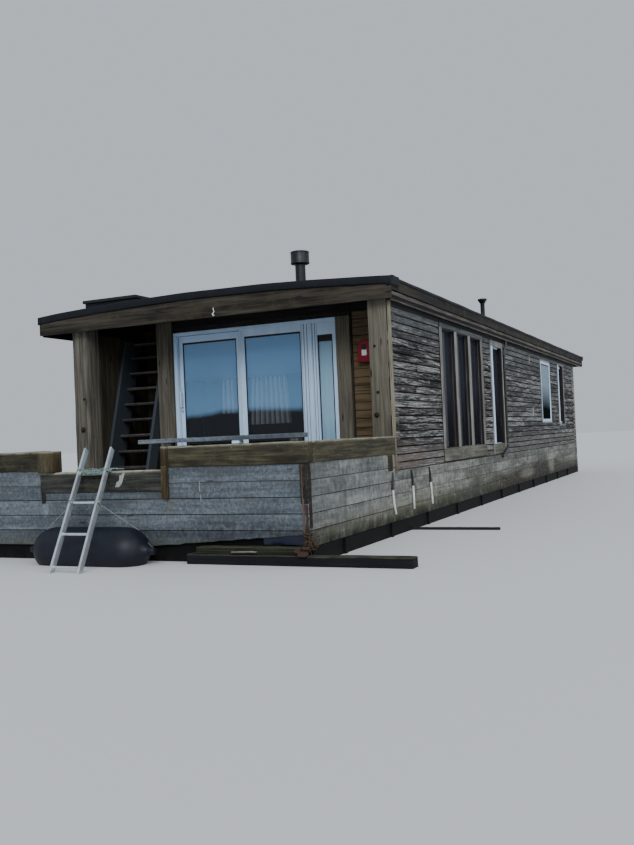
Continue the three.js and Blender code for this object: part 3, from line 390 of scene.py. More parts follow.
    # Deck boards, bare softwood trodden grey.
    wood("deck", "trodden_softwood_deck", "X", [(0.2, "#4b4842"), (0.5, "#716e67"), (0.85, "#918e86")],
         knots=("#302c27", 0.7), stains=[("#3c4030", (1.2, 1.2, 1.2), 0.5, 0.65, 0.5)])
    wood("floor_boards", "varnished_softwood_floor", "Y", [(0.2, "#4a3524"), (0.8, "#7c5c3d")],
         roughness=0.45, bump=0.001)
    # Fascia boards, once stained, grey-brown with lichen.
    for grain, middle, pale in (("X", tint.fascia, "#4c473f"), ("Y", "#231f1d", "#3a3530")):
        wood(f"fascia_{grain}", f"lichened_softwood_fascia_{grain}", grain,
             [(0.15, "#171512"), (0.5, middle), (0.85, pale)], (1.5, 30.0), (0.6, 4.0),
             knots=("#12110f", 0.8), stains=[("#45412c", (3.0, 3.0, 3.0), 0.5, 0.68, 0.5)])
    # Planed softwood trim with the last of a pale paint.
    wood("trim_Z", "pale_painted_trim_Z", "Z", [(0.1, "#464540"), (0.45, "#72706c"), (0.8, "#979590")],
         (3.0, 50.0), (1.5, 6.0), bump=0.002)
    # The tall window's head board, grey, dull and darker as a painted shade of the eaves, and the strips in
    # its jambs, grey and dull.
    for name, grain, middle, pale in (("head_board", "Y", "#494c4e", "#686a69"),
                                      ("jamb", "Z", "#3f3e42", "#5a595b")):
        wood(name, f"weathered_{name}", grain, [(0.1, "#29292b"), (0.5, middle), (0.85, pale)],
             (2.0, 50.0), (1.0, 6.0), bump=0.002)
    # The eaves' trim, whose paint has gone, darker as a painted shade of the felt above it.
    wood("trim_dim", "bare_softwood_trim_in_painted_shade", "Y", [(0.1, "#2a2724"), (0.45, "#4d4944"), (0.8, "#6c675f")],
         (2.0, 50.0), (1.0, 6.0), bump=0.002)
    # The corner battens, beige-grey, brown where the rain splashes their feet.
    wood("batten", "weathered_softwood_batten", "Z", [(0.1, "#45433b"), (0.45, "#6d695a"), (0.8, "#8e8977")],
         (3.0, 50.0), (1.5, 6.0), bands=[("#514030", DECK_TOP + 0.12, DECK_TOP + 0.8, 0.85)], bump=0.002)
    # Rough grey sill timber with grey-green lichen.
    wood("sill", "lichened_sill_timber", "Y", [(0.15, "#3d3c35"), (0.5, "#626159"), (0.85, "#828178")],
         (1.6, 30.0), (1.0, 4.0), knots=("#25251d", 0.8),
         stains=[("#83847a", (10.0, 10.0, 10.0), 0.55, 0.7, 0.5),
                 ("#4a4a33", (2.0, 2.0, 5.0), 0.5, 0.68, 0.6)])
    # Soffit and frieze boards in deep shade, painted near-black: painted shade over the dark stain still on
    # them.
    for grain in "XYZ":
        wood(f"shade_{grain}", f"painted_shade_and_stain_board_{grain}", grain,
             [(0.2, "#100f10"), (0.6, "#252325"), (0.9, "#3b393a")], knots=("#0b0a0a", 0.6), bump=0.002)
    # The stand-off beam, waterlogged and black, pale along its top, partly worn and partly a painted
    # highlight.
    wood("beam", "waterlogged_oak_beam", "X", [(0.2, "#07080b"), (0.6, "#101319"), (0.9, "#23262b")],
         crown=("#5c5844", 0.5))
    # The timber that lies on the beam, as wet, with moss in its grain and a pale top, partly worn and partly
    # a painted highlight.
    wood("wet_timber", "waterlogged_mossy_oak", "X", [(0.15, "#0c0d0b"), (0.5, "#1d1f17"), (0.85, "#35372a")],
         crown=("#4f4d3a", 0.6), bump=0.005)
    # Painted stair strings, blue-grey gloss gone chalky.
    coating("stringer", "chalky_stair_paint", tint.stringer, "#232a32", 0.6, cells=(4.0, 4.0, 1.5),
            bump=0.001)
    # Treads, paler on their tops, partly worn and partly a painted highlight.
    wood("tread", "worn_softwood_tread", "X", [(0.2, "#191513"), (0.6, "#342b25"), (0.9, "#51463d")],
         crown=("#6d6a66", 0.7))
    # Bitumen roofing felt, laid cold and gone matt, in weathered clouds of 0.8 m. Its mineral grit of
    # 1 mm is too fine to show, so it is drawn 64 mm across. Its edges are torched down, in ripples of 17 mm.
    coating("felt", "mineral_roofing_felt", tint.felt, "#262a31", 0.85, cells=(1.3, 1.3, 1.3), bump=0.003)
    coating("felt_edge", "torched_bitumen_edge", "#080b12", "#161d2b", 0.6, cells=(5.0, 5.0, 9.0), bump=0.003,
            more={"Specular IOR Level": 0.25})
    # Hull coating of black bitumen paint over steel, matt, in roller marks of 40 mm, with scum at
    # the waterline.
    coating("hull", "bitumen_hull_coating", "#060708", "#0e1011", 0.75, cells=(2.0, 2.0, 5.0), bump=0.003,
            grime=("#1b1c15", WATERLINE, WATERLINE + 0.15), more={"Specular IOR Level": 0.15})
    coating("membrane", "blue_polythene_membrane", "#050a26", "#0d1638", 0.45, cells=(6.0, 6.0, 12.0))
    # Extruded white PVC-U frames, satin, in streaks 0.3 m wide, with grime washed to their lower ends. Their
    # blue tint is a painted cast of skylight.
    coating("white", "white_pvcu_frame", tint.white, "#9cb3c8", 0.35, cells=(3.0, 3.0, 0.8), strength=0.45,
            grime=("#5f6a70", DECK_TOP, DECK_TOP + 0.25))
    coating("gasket", "epdm_gasket", "#0b0c0e", "#1a1c1e", 0.6, strength=0.3)
    coating("black", "black_stove_enamel", "#12151a", "#2c3138", 0.42, 0.3, (8.0, 8.0, 2.5), bump=0.001)
    coating("pipe", "black_pvc_pipe", "#141517", "#2b2d2f", 0.4, cells=(10.0, 10.0, 2.0), strength=0.4)
    coating("white_pipe", "white_pvc_pipe", "#cfd3d0", "#8d9187", 0.45, cells=(20.0, 20.0, 6.0), strength=0.6,
            grime=("#4b4d3a", BOARD_BOTTOM, BOARD_BOTTOM + 0.2))
    # Mill-finish aluminium tube, dulled by weather and rubbed by ropes in marks of 80 mm.
    coating("aluminium", "mill_finish_aluminium", "#cfd6db", "#858d92", 0.40, 0.75, (12.0, 12.0, 3.0))
    coating("steel", "rusty_galvanised_steel", "#76756b", tint.rust, 0.6, 0.4, (20.0, 20.0, 20.0))
    # Moulded PVC fender skin, wet and slightly glossy, scuffed in patches of 0.1 to 0.3 m. Red gelcoat,
    # faded in clouds of 140 mm, and a white plate.
    coating("fender", "moulded_pvc_fender", tint.navy, "#10182a", 0.5, cells=(3.0, 3.0, 9.0), strength=0.7,
            grime=("#0d1012", WATERLINE, WATERLINE + 0.1), more={"Specular IOR Level": 0.35})
    coating("red", "red_gelcoat", tint.red, "#5a0418", 0.5, cells=(7.0, 7.0, 7.0),
            more={"Specular IOR Level": 0.3})
    coating("label", "white_label_plate", "#dfe2e2", "#b5b8b8", 0.4, cells=(12.0, 12.0, 12.0))
    # Rotten and torn wood and dead weed, matt, in tufts and pits of 20 to 60 mm.
    coating("rust", "rust_and_rot", tint.rust, "#3a1f12", 0.9, cells=(16.0, 16.0, 9.0), strength=0.85,
            bump=0.004)
    coating("split", "split_softwood", "#584a40", "#3a302a", 0.9, cells=(30.0, 30.0, 5.0), strength=0.7,
            bump=0.002)
    coating("pale_split", "pale_splinter", "#9a9e9c", "#696d6c", 0.9, cells=(40.0, 40.0, 12.0),
            strength=0.8, bump=0.002)
    coating("weed", "dead_weed", "#4d3a27", "#241d13", 0.9, cells=(30.0, 30.0, 30.0), strength=0.8)
    # Twisted polypropylene rope, sun-bleached, dark between its strands. They are 5 mm apart and
    # drawn 17 mm apart, to show.
    coating("rope", "polypropylene_rope", tint.rope, "#94a59e", 0.7, cells=(30.0, 20.0, 60.0),
            spread=(0.4, 0.6), strength=0.8, bump=0.001)
    # Black iron bolts, rusty in blooms of 25 mm.
    coating("bollard", "black_iron_bolt", "#1d1c1c", tint.rust, 0.6, 0.5, (40.0, 40.0, 40.0))
    curtain_cloth()
    # Panes with a painted reflection: those of the doors are painted with a bright blue sky above and dark
    # water below, and with a painted sky over their top, lighter where the roof's shade falls; the others
    # less.
    pane_glass("glass", "float_glass_painted_blue_sky", tint.glass, "#0a111b", 2.42, 2.33, 0.42, 0.6,
               ("#74aadc", 0.84, 3.16, 2.80))
    # Painted light: the side pane is pale blue in place of the lit curtain behind it.
    pane_glass("side_glass", "clear_float_glass", "#aedcfa", "#8ebde0", 2.20, 1.75, 0.42, 0.6)
    # Painted reflection of a grey sky above and dark reeds below.
    pane_glass("sky_glass", "float_glass_painted_grey_sky", "#8b9ca8", "#101917", 2.95, 2.35, 0.88, 0.0)
    # Painted shade: these panes are nearly opaque and dark for the shaded rooms behind them.
    pane_glass("dark_glass", "painted_shade_float_glass", "#30323a", "#1e2026", 2.65, 2.05, 0.86, 0.05)


def curtain_cloth():
    """Thin white voile: a loose plain weave that lets some light through."""
    material, tree = start_material("white_cotton_voile")
    along = node(tree, "TexCoord").outputs["UV"]
    # Threads are drawn 4 mm apart, coarser than real ones, so that the weave shows.
    threads = node(tree, "Mapping", {"Scale": (250.0, 250.0, 1.0)}, {"Vector": along}).outputs[0]
    weave = node(tree, "TexChecker", {"Scale": 1.0, "Color1": linear("#e9ecec"), "Color2": linear("#d3d9dc")},
                 {"Vector": threads})
    clouds = pattern(tree, along, (3.0, 0.8, 1.0), 0.4, 0.7)
    colour = over(tree, weave.outputs[0], clouds, "#bcc6cc", 0.4)
    # Painted shade: the folds' inner troughs are darkened towards the back, as little light reaches them.
    place = node(tree, "TexCoord").outputs["Object"]
    inwards = node(tree, "SeparateXYZ", None, {0: place}).outputs[1]
    front, back = boxes["curtains"][0].y, boxes["curtains"][1].y
    painted_hollow_shade = node(tree, "MapRange", {"From Min": front + 0.025, "From Max": back - 0.012}, {"Value": inwards})
    colour = over(tree, colour, painted_hollow_shade.outputs[0], "#48607a", 0.85)
    raised = node(tree, "Bump", {"Strength": 0.2, "Distance": 0.001}, {"Height": weave.outputs[1]})
    end_material(tree, {"Roughness": 0.9, "Sheen Weight": 0.3},
                 {"Base Color": colour, "Normal": raised.outputs[0]})
    finishes["curtain"] = material


def pane_glass(finish, name, upper, lower, full, none, cover, gloss, painted_sky_veil=None):
    """Float glass with a painted reflection: sky in its upper part and dark water below. cover is how much it
    hides.

    The painted sky over the top is a shade and a cover reached at a height, from another height on; it
    lightens the top, where the roof's shade falls.
    """
    material, tree = start_material(name)
    place = node(tree, "TexCoord").outputs["Object"]
    height = node(tree, "SeparateXYZ", None, {0: place}).outputs[2]
    wander = pattern(tree, place, (1.5, 1.5, 0.6), 0.2, 0.8, 3.0, 0.5)
    edge = node(tree, "Math", {"operation": "MULTIPLY_ADD", 1: 0.1}, {0: wander, 2: height}).outputs[0]
    # Painted reflection: sky above a wavering edge, dark water below.
    painted_reflection = node(tree, "MapRange", {"From Min": none, "From Max": full}, {"Value": edge})
    colour = over(tree, lower, painted_reflection.outputs[0], upper)
    links = {"Base Color": colour}
    # Painted sky over the pane's top, lighter where the roof's shade falls.
    if painted_sky_veil:
        shade, most, high, low = painted_sky_veil
        rise = node(tree, "MapRange", {"From Min": low, "From Max": high}, {"Value": height}).outputs[0]
        links["Base Color"] = over(tree, colour, rise, shade)
        links["Alpha"] = node(tree, "MapRange", {"To Min": cover, "To Max": most}, {"Value": rise}).outputs[0]
    end_material(tree, {"Roughness": 0.05, "IOR": 1.5, "Alpha": cover, "Specular IOR Level": gloss}, links)
    finishes[finish] = material


def start_shape():
    shape = bmesh.new()
    shape.verts.layers.float_vector.new("shift")
    shape.verts.layers.float.new("tone")
    return shape


def mark(shape, verts):
    """Gives a board its own place in the grain and its own tone."""
    shift = shape.verts.layers.float_vector["shift"]
    tone = shape.verts.layers.float["tone"]
    place = Vector((draw.uniform(0, 30), draw.uniform(0, 30), draw.uniform(0, 30)))
    level = draw.random()
    for vert in verts:
        vert[shift] = place
        vert[tone] = level


def eased(shape, edges, bevel, segments):
    bmesh.ops.bevel(
        shape, geom=edges, offset=bevel, offset_type="OFFSET", segments=segments,
        profile=0.5, affect="EDGES", clamp_overlap=True, material=-1)


def block(shape, low, high, bevel=0.003, segments=1, lean=None, turn=None):
    """A board between two corners with eased edges. lean shifts its lower edge, turn places it afterwards."""
    low, high = Vector(low), Vector(high)
    place = Matrix.Translation((low + high) / 2) @ Matrix.Diagonal((*(high - low), 1.0))
    verts = bmesh.ops.create_cube(shape, size=1.0, matrix=place)["verts"]
    mark(shape, verts)
    if lean:
        middle = (low.z + high.z) / 2
        for vert in verts:
            if vert.co.z < middle:
                vert.co += lean
    if turn:
        bmesh.ops.transform(shape, matrix=turn, verts=verts)
    if bevel:
        edges = list(dict.fromkeys(edge for vert in verts for edge in vert.link_edges))
        eased(shape, edges, bevel, segments)


def lay(axis, outer, inner, a0, a1, z0, z1):
    """The two corners of a board on a wall that runs along an axis."""
    near, far = min(outer, inner), max(outer, inner)
    if axis == "Y":
        return (near, a0, z0), (far, a1, z1)
    return (a0, near, z0), (a1, far, z1)


def clipped(a0, a1, z0, z1, holes):
    """What is left of a rectangle round the holes, each hole from a0 to a1 and z0 to z1."""
    near = [h for h in holes if h[0] < a1 and h[1] > a0 and h[2] < z1 - 1e-4 and h[3] > z0 + 1e-4]
    edges = sorted({a0, a1, *(e for h in near for e in h[:2] if a0 < e < a1)})
    for left, right in zip(edges, edges[1:]):
        middle = (left + right) / 2
        over_here = [h for h in near if h[0] < middle < h[1]]
        if not over_here:
            yield left, right, z0, z1
            continue
        hole = over_here[0]
        if hole[2] > z0:
            yield left, right, z0, hole[2]
        if hole[3] < z1:
            yield left, right, hole[3], z1


def board_wall(shape, axis, hand, outer, depth, span, levels, holes=(), length=3.2, gap=0.004,
               lip=0.0, bevel=0.003):
    """Rows of boards on a wall, with staggered butt joints, cut round the holes."""
    smallest = 0.015
    for z0, z1 in zip(levels, levels[1:]):
        joints = [span[0]]
        joint = span[0] + draw.uniform(0.3, 1.0) * length
        while joint < span[1] - 0.35 * length:
            joints.append(joint)
            joint += draw.uniform(0.7, 1.25) * length
        joints.append(span[1])
        for a0, a1 in zip(joints, joints[1:]):
            proud = draw.uniform(0.0, lip)
            lean = Vector((hand * proud, 0, 0)) if axis == "Y" else Vector((0, hand * proud, 0))
            for left, right, low, high in clipped(a0, a1, z0, z1, holes):
                if min(right - left, high - low) < smallest:
                    continue
                corners = lay(axis, outer, outer - hand * depth,
                              left + gap / 4, right - gap / 4, low + gap / 2, high - gap / 2)
                block(shape, *corners, bevel, 1, lean)


def levels_between(bottom, top, pitch):
    """Heights of a wall's seams, in rows of about one pitch."""
    rows = max(1, round((top - bottom) / pitch))
    return [bottom + i * (top - bottom) / rows for i in range(rows + 1)]


def ring(shape, centre, along, radius, sides, capped):
    """A circle across a path, and the edges round it."""
    turn = along.to_track_quat("Z", "X").to_matrix().to_4x4()
    verts = bmesh.ops.create_circle(
        shape, cap_ends=capped, segments=sides, radius=radius,
        matrix=Matrix.Translation(centre) @ turn)["verts"]
    inside = set(verts)
    round_it = (e for v in verts for e in v.link_edges if e.other_vert(v) in inside)
    return verts, list(dict.fromkeys(round_it))


def tube(shape, path, radius, sides=12):
    """A round bar, pipe or rope along a path, closed at its ends, of one radius or one for each point."""
    points = [Vector(p) for p in path]
    radii = radius if isinstance(radius, (list, tuple)) else [radius] * len(points)
    rings, verts = [], []
    last = len(points) - 1
    for i, point in enumerate(points):
        along = points[min(i + 1, last)] - points[max(i - 1, 0)]
        circle, edges = ring(shape, point, along, radii[i], sides, i in (0, last))
        verts.extend(circle)
        rings.append(edges)
    mark(shape, verts)
    for first, second in zip(rings, rings[1:]):
        bmesh.ops.bridge_loops(shape, edges=first + second)


def arc(centre, radius, from_angle, to_angle, steps, first, second):
    """Points of an arc about a centre, in the plane of two directions. Angles are in degrees."""
    points = []
    for i in range(steps + 1):
        angle = math.radians(from_angle + (to_angle - from_angle) * i / steps)
        out = math.cos(angle) * Vector(first) + math.sin(angle) * Vector(second)
        points.append(Vector(centre) + radius * out)
    return points


def spun(shape, profile, centre, axis, steps):
    """A profile of radius and height points, turned about an axis through a centre."""
    axis = Vector(axis).normalized()
    side = axis.orthogonal().normalized()
    centre = Vector(centre)
    verts = [shape.verts.new(centre + side * radius + axis * height) for radius, height in profile]
    mark(shape, verts)
    edges = [shape.edges.new(pair) for pair in zip(verts, verts[1:])]
    bmesh.ops.spin(shape, geom=verts + edges, cent=centre, axis=axis, dvec=(0, 0, 0),
                   angle=2 * math.pi, steps=steps, use_merge=True, use_duplicate=False)
    bmesh.ops.remove_doubles(shape, verts=shape.verts, dist=2e-5)


def sliced(shape, axis, low, high, pitch):
    """Cuts a shape across an axis at even places, so that it can be worn."""
    count = max(1, round((high - low) / pitch))
    normal = Vector([1.0 if i == axis else 0.0 for i in range(3)])
    for i in range(1, count):
        place = normal * (low + (high - low) * i / count)
        geometry = shape.verts[:] + shape.edges[:] + shape.faces[:]
        bmesh.ops.bisect_plane(shape, geom=geometry, dist=1e-5, plane_co=place, plane_no=normal)


def worn(shape, amount, cells=3.0, place=0.0, chew=0.0, top=None):
    """Moves points by smooth noise, and eats into the top edges."""
    offset = Vector((place, place * 1.3, place * 0.7))
    for vert in shape.verts:
        move = noise.noise_vector(vert.co * cells + offset) * amount
        move += noise.noise_vector(vert.co * cells * 4 + offset) * amount * 0.4
        if chew and top is not None and vert.co.z > top - 0.02:
            move.z -= chew * max(0.0, noise.noise(vert.co * 9 + offset))
        vert.co += move


def finish_piece(shape, name, material, slot, replaced=(), body="boat", smooth=None):
    """Turns a shape into a piece of the boat that rides on a body."""
    bmesh.ops.recalc_face_normals(shape, faces=shape.faces)
    mesh = bpy.data.meshes.new(name)
    shape.to_mesh(mesh)
    shape.free()
    if smooth is not None:
        mesh.polygons.foreach_set("use_smooth", [True] * len(mesh.polygons))
        mesh.set_sharp_from_angle(angle=math.radians(smooth))
    mesh.materials.append(finishes[material])
    piece = bpy.data.objects.new(name, mesh)
    bpy.context.scene.collection.objects.link(piece)
    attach(piece, body)
    if replaced:
        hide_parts(*replaced)
    return piece


def paint_node(name, material):
    """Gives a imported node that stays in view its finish."""
    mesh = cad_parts[name].data
    mesh.materials.clear()
    mesh.materials.append(finishes[material])


def copied(name, bevel, segments=2, sharp=30.0, move=None):
    """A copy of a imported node's mesh, merged, with its sharp edges eased."""
    shape = start_shape()
    shape.from_mesh(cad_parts[name].data)
    bmesh.ops.remove_doubles(shape, verts=shape.verts, dist=2e-5)
    bmesh.ops.dissolve_limit(shape, angle_limit=math.radians(1), verts=shape.verts, edges=shape.edges)
    if move:
        for vert in shape.verts:
            vert.co = move(vert.co)
    if bevel:
        edges = [e for e in shape.edges
                 if len(e.link_faces) == 2 and e.calc_face_angle(0) > math.radians(sharp)]
        eased(shape, edges, bevel, segments)
    return shape


def hole_of(name, axis):
    low, high = boxes[name]
    return (low[axis], high[axis], low.z, high.z)


def roof_top(x):
    """Height of the felt at an x."""
    half = ROOF_HALF - 0.012
    return ROOF_CROWN_TOP - (ROOF_CROWN_TOP - ROOF_EDGE_TOP) * ((x - ROOF_MIDDLE) / half) ** 2


def join_into(shape, other):
    """Adds another shape's mesh to a shape."""
    carried = bpy.data.meshes.new("carried")
    other.to_mesh(carried)
    other.free()
    shape.from_mesh(carried)
    bpy.data.meshes.remove(carried)


def boarded(corners, name, material, slot, bevel=0.003, segments=1, cuts=(), wear=None, **more):
    """A piece of boards, each between two corners, cut across and worn where that is asked."""
    shape = start_shape()
    for low, high in corners:
        block(shape, low, high, bevel, segments)
    for cut in cuts:
        sliced(shape, *cut)
    if wear:
        worn(shape, *wear)
    finish_piece(shape, name, material, slot, **more)


def eased_node(name, bevel, piece, material, slot, body="boat"):
    """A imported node's mesh with eased edges, as the piece that replaces it."""
    finish_piece(copied(name, bevel), piece, material, slot, [name], body, smooth=40)


class Step(bpy.types.Operator):
    """A step of the dressing, which starts its own runs of random numbers and noise."""

    bl_options = {"REGISTER", "UNDO"}

    def begin(self, context):
        sizes = context.scene.houseboat_sizes
        draw.seed(sizes.seed * 1000 + len(self.bl_idname))
        # A noise seed of 0 would mean the time of day.
        noise.seed_set(sizes.seed + 1)
        return sizes


class HOUSEBOAT_OT_finishes(Step):
    """Mixes the materials"""

    bl_idname = "houseboat.finishes"
    bl_label = "Mix finishes"

    def execute(self, context):
        mix_finishes(context.scene.houseboat_colours)
        return {"FINISHED"}


def plank_sides(low, high, depth, gap):
    """The sides' planks, low along the cabin and high round the front deck."""
    for name, hand in (("starboard", 1), ("port", -1)):
        shape = start_shape()
        board_wall(shape, "Y", hand, hand * SIDE_X, depth - PLANK_INSET, (CABIN_FRONT_Y, STERN_Y), low,
                   length=4.8, lip=0.003, gap=gap)
        board_wall(shape, "Y", hand, hand * SIDE_X, depth - PLANK_INSET, (BOW_Y + depth, CABIN_FRONT_Y), high,
                   length=9.0, lip=0.004, gap=0.007, bevel=0.004)
        finish_piece(shape, f"planks_{name}", "plank_side", "silver_board", [f"boards_{name}"])


def plank_bow(levels, depth):
    """The bow's planks, with the gate cut and the lowest plank worn away to starboard."""
    shape = start_shape()
    gate_low, gate_high = boxes["cap_ladder"]
    gate = (gate_low.x, gate_high.x, gate_low.z + PLANK_TUCK, BULWARK_TOP + 0.1)
    board_wall(shape, "X", -1, BOW_Y, depth - 0.001, (-SIDE_X, SIDE_X), levels[1:],
               holes=[gate], length=9.0, lip=0.005, gap=0.007, bevel=0.004)
    wear_x, worn_height = 0.91, 0.14
    top = levels[1] - 0.0035
    inner = BOW_Y + depth - 0.001
    block(shape, (-SIDE_X, BOW_Y, levels[0]), (wear_x, inner, top), 0.004)
    wedge = start_shape()
    block(wedge, (wear_x + 0.004, BOW_Y, levels[0]), (SIDE_X, inner, top), 0.0)
    sliced(wedge, 0, wear_x, SIDE_X, 0.09)
    for vert in wedge.verts:
        if vert.co.z < levels[0] + 0.01:
            along = (vert.co.x - wear_x) / (SIDE_X - wear_x)
            jagged = 0.014 * noise.noise(Vector((vert.co.x * 9, 0, 3)))
            vert.co.z += min(worn_height * along + jagged, top - levels[0] - 0.02)
    join_into(shape, wedge)
    finish_piece(shape, "planks_bow", "plank_end", "silver_board", ["boards_bow"])
    # The blue membrane behind the worn plank hangs in a loose fold.
    x0, x1, z0, z1 = 2.32, SIDE_X - 0.06, 0.765, 0.875
    boarded([((x0, BOW_Y + 0.028, z0), (x1, BOW_Y + 0.046, z1))], "bow_membrane", "membrane", "hull_paint",
            0.004, cuts=[(0, x0, x1, 0.07), (2, z0, z1, 0.04)], wear=(0.012, 6.0, 4.0), smooth=40)
    # Splinters stand off two planks.
    splinters = [((x, BOW_Y - 0.006, z - height / 2), (x + 0.007, BOW_Y + 0.002, z + height / 2))
                 for x, z, height in ((1.572, 1.40, 0.11), (1.583, 1.27, 0.08))]
    boarded(splinters, "bow_splinters", "pale_split", "silver_board", 0.001,
            cuts=[(2, 1.2, 1.48, 0.02)], wear=(0.003, 20.0, 5.0))


def dress_corner():
    """The bow's starboard corner: dark strips, a split pale one, rot below, and dead weed at its foot."""
    top, bottom, split_foot = BULWARK_TOP - 0.004, 1.20, 0.87
    proud, back = BOW_Y - 0.012, BOW_Y + 0.002
    strips = [((x0, proud, bottom), (x1, back, top))
              for x0, x1 in ((2.796, 2.812), (2.824, 2.848), (2.853, 2.884))]
    strips.append(((SIDE_X - 0.002, BOW_Y - 0.004, 0.95), (SIDE_X + 0.012, BOW_Y + 0.045, top)))
    boarded(strips, "bow_corner_strips", "fascia_Y", "fascia_board",
            cuts=[(2, bottom, top, 0.05)], wear=(0.004, 7.0, 8.0))
    boarded([((2.811, BOW_Y - 0.010, bottom + 0.05), (2.825, back, top)),
             ((2.812, proud, split_foot), (2.832, BOW_Y - 0.002, bottom + 0.06))],
            "bow_corner_split", "split", "fascia_board",
            cuts=[(2, split_foot, bottom + 0.06, 0.03)], wear=(0.006, 12.0, 2.0))
    shape = start_shape()
    block(shape, (2.846, proud, 0.86), (2.876, BOW_Y - 0.002, bottom))
    for x, z, size in ((2.80, 0.72, 0.035), (2.86, 0.70, 0.045), (2.90, 0.76, 0.025)):
        block(shape, (x - size, BOW_Y - 0.135 - size, z - size * 0.5),
              (x + size, BOW_Y - 0.10, z + size * 0.6), 0.010, 2)
    sliced(shape, 2, 0.64, bottom, 0.025)
    worn(shape, 0.016, 14.0, 2.0)
    finish_piece(shape, "bow_corner_rot", "rust", "fascia_board")
    shape = start_shape()
    blades = 45
    for _ in range(blades):
        foot = Vector((2.865 + draw.gauss(0.0, 0.035), BOW_Y + draw.gauss(-0.02, 0.03),
                       draw.uniform(0.72, 0.93)))
        reach = Vector((draw.gauss(0.02, 0.045), draw.gauss(-0.03, 0.04), draw.gauss(0.0, 0.045)))
        bend = Vector((draw.gauss(0, 0.015), draw.gauss(0, 0.015), draw.uniform(-0.04, 0.015)))
        tube(shape, [foot, foot + reach * 0.5, foot + reach + bend],
             [0.006, draw.uniform(0.004, 0.008), 0.0015], 4)
    finish_piece(shape, "bow_corner_weed", "weed", "fascia_board")


class HOUSEBOAT_OT_hull(Step):
    """Planks the hull's sides and ends, and paints the pontoon"""

    bl_idname = "houseboat.hull"
    bl_label = "Plank the hull"

    def execute(self, context):
        sizes = self.begin(context)
        seams = [BOARD_BOTTOM + i * sizes.plank_height for i in range(6)]
        low = seams[:4] + [DECK_TOP]
        # The top planks reach into the sleepers, so that no light shows between them.
        high = seams[:5] + [BULWARK_TOP + PLANK_TUCK]
        depth = 0.05
        plank_sides(low, high, depth, sizes.board_gap)
        plank_bow(high, depth)
        shape = start_shape()
        board_wall(shape, "X", 1, STERN_Y, depth - PLANK_INSET, (-SIDE_X + depth, SIDE_X - depth), low,
                   length=4.0, lip=0.003, gap=sizes.board_gap)
        finish_piece(shape, "planks_stern", "plank_end", "silver_board", ["boards_stern"])
        paint_node("hull", "hull")
        dress_corner()
        return {"FINISHED"}


def shape_sleepers(wear):
    """The sleepers and posts, their faces wandering by the wear and their tops chewed."""
    # node, piece, finish, bevel, chewed depth
    timbers = (
        ("cap_bow_starboard", "sleeper_bow_starboard", "sleeper_X", 0.014, 0.022),
        ("cap_bow_port", "sleeper_bow_port", "sleeper_X", 0.014, 0.016),
        ("cap_ladder", "sleeper_at_ladder", "sleeper_low", 0.018, 0.014),
        ("cap_starboard", "sleeper_starboard", "sleeper_Y", 0.014, 0.020),
        ("cap_port", "sleeper_port", "sleeper_Y", 0.014, 0.016),
        ("post_starboard", "corner_post_starboard", "post", 0.010, 0.0),
        ("post_port", "corner_post_port", "post_lit_copy", 0.010, 0.0),
        ("post_stair", "stair_post", "post", 0.008, 0.0),
        ("post_door", "door_post", "post", 0.006, 0.0),
    )
    for seed, (name, piece, finish, bevel, chew) in enumerate(timbers):
        low, high = boxes[name]
        extents = [high[i] - low[i] for i in range(3)]
        longest = extents.index(max(extents))
        boarded([(low, high)], piece, finish, "sleeper", bevel, 3,
                [(longest, low[longest], high[longest], 0.07)], (wear, 2.5, seed * 3.1, chew, high.z),
                replaced=[name], smooth=50)


def shape_uprights():
    """The uprights stand proud of the sleepers, and the starboard one reaches down the planks."""
    for name, foot_z, wide_z in (("upright_port", None, None), ("upright_starboard", 1.27, BULWARK_TOP)):
        low, high = boxes[name]
        shape = start_shape()
        block(shape, (low.x, low.y + 0.001, wide_z or low.z), high, 0.008, 2)
        if foot_z:
            block(shape, (low.x, low.y, foot_z), (high.x, BOW_Y, wide_z + 0.02), 0.006, 2)
        sliced(shape, 2, low.z, high.z, 0.06)
        worn(shape, 0.003, 4.0, low.z, 0.012, high.z)
        finish_piece(shape, name + "_timber", "sleeper_Z", "sleeper", [name], smooth=50)
    boarded([((-0.628, BOW_Y - 0.012, 1.235), (-0.575, BOW_Y + 0.002, 1.352))], "gate_iron", "bollard",
            "sleeper", 0.004, 2, [(2, 1.228, 1.362, 0.02)], (0.010, 16.0, 3.0), smooth=40)
    # A cleat of the same timber holds the side sleeper's after end to the planks.
    aft, foot = CABIN_FRONT_Y - 0.135, 1.41
    boarded([((SIDE_X - 0.004, aft - 0.13, foot), (SIDE_X + 0.020, aft, BULWARK_TOP - 0.002))],
            "sleeper_end_cleat", "sleeper_Z", "sleeper", 0.004, cuts=[(2, foot, BULWARK_TOP, 0.04)],
            wear=(0.003, 9.0, 2.0))
    # Splinters torn from the lowered sleeper's face show pale wood.
    shape = start_shape()
    for x, z0, z1, width, slant in ((0.560, 1.44, 1.572, 0.040, -0.050), (0.528, 1.42, 1.55, 0.050, -0.045),
                                    (0.485, 1.414, 1.48, 0.055, -0.030)):
        block(shape, (x, CAP_FRONT_Y - 0.005, z0), (x + width, CAP_FRONT_Y + 0.004, z1), 0.002,
              lean=Vector((slant, 0, 0)))
    sliced(shape, 2, 1.41, 1.58, 0.02)
    worn(shape, 0.007, 14.0, 3.0)
    finish_piece(shape, "torn_sleeper_face", "pale_split", "sleeper")


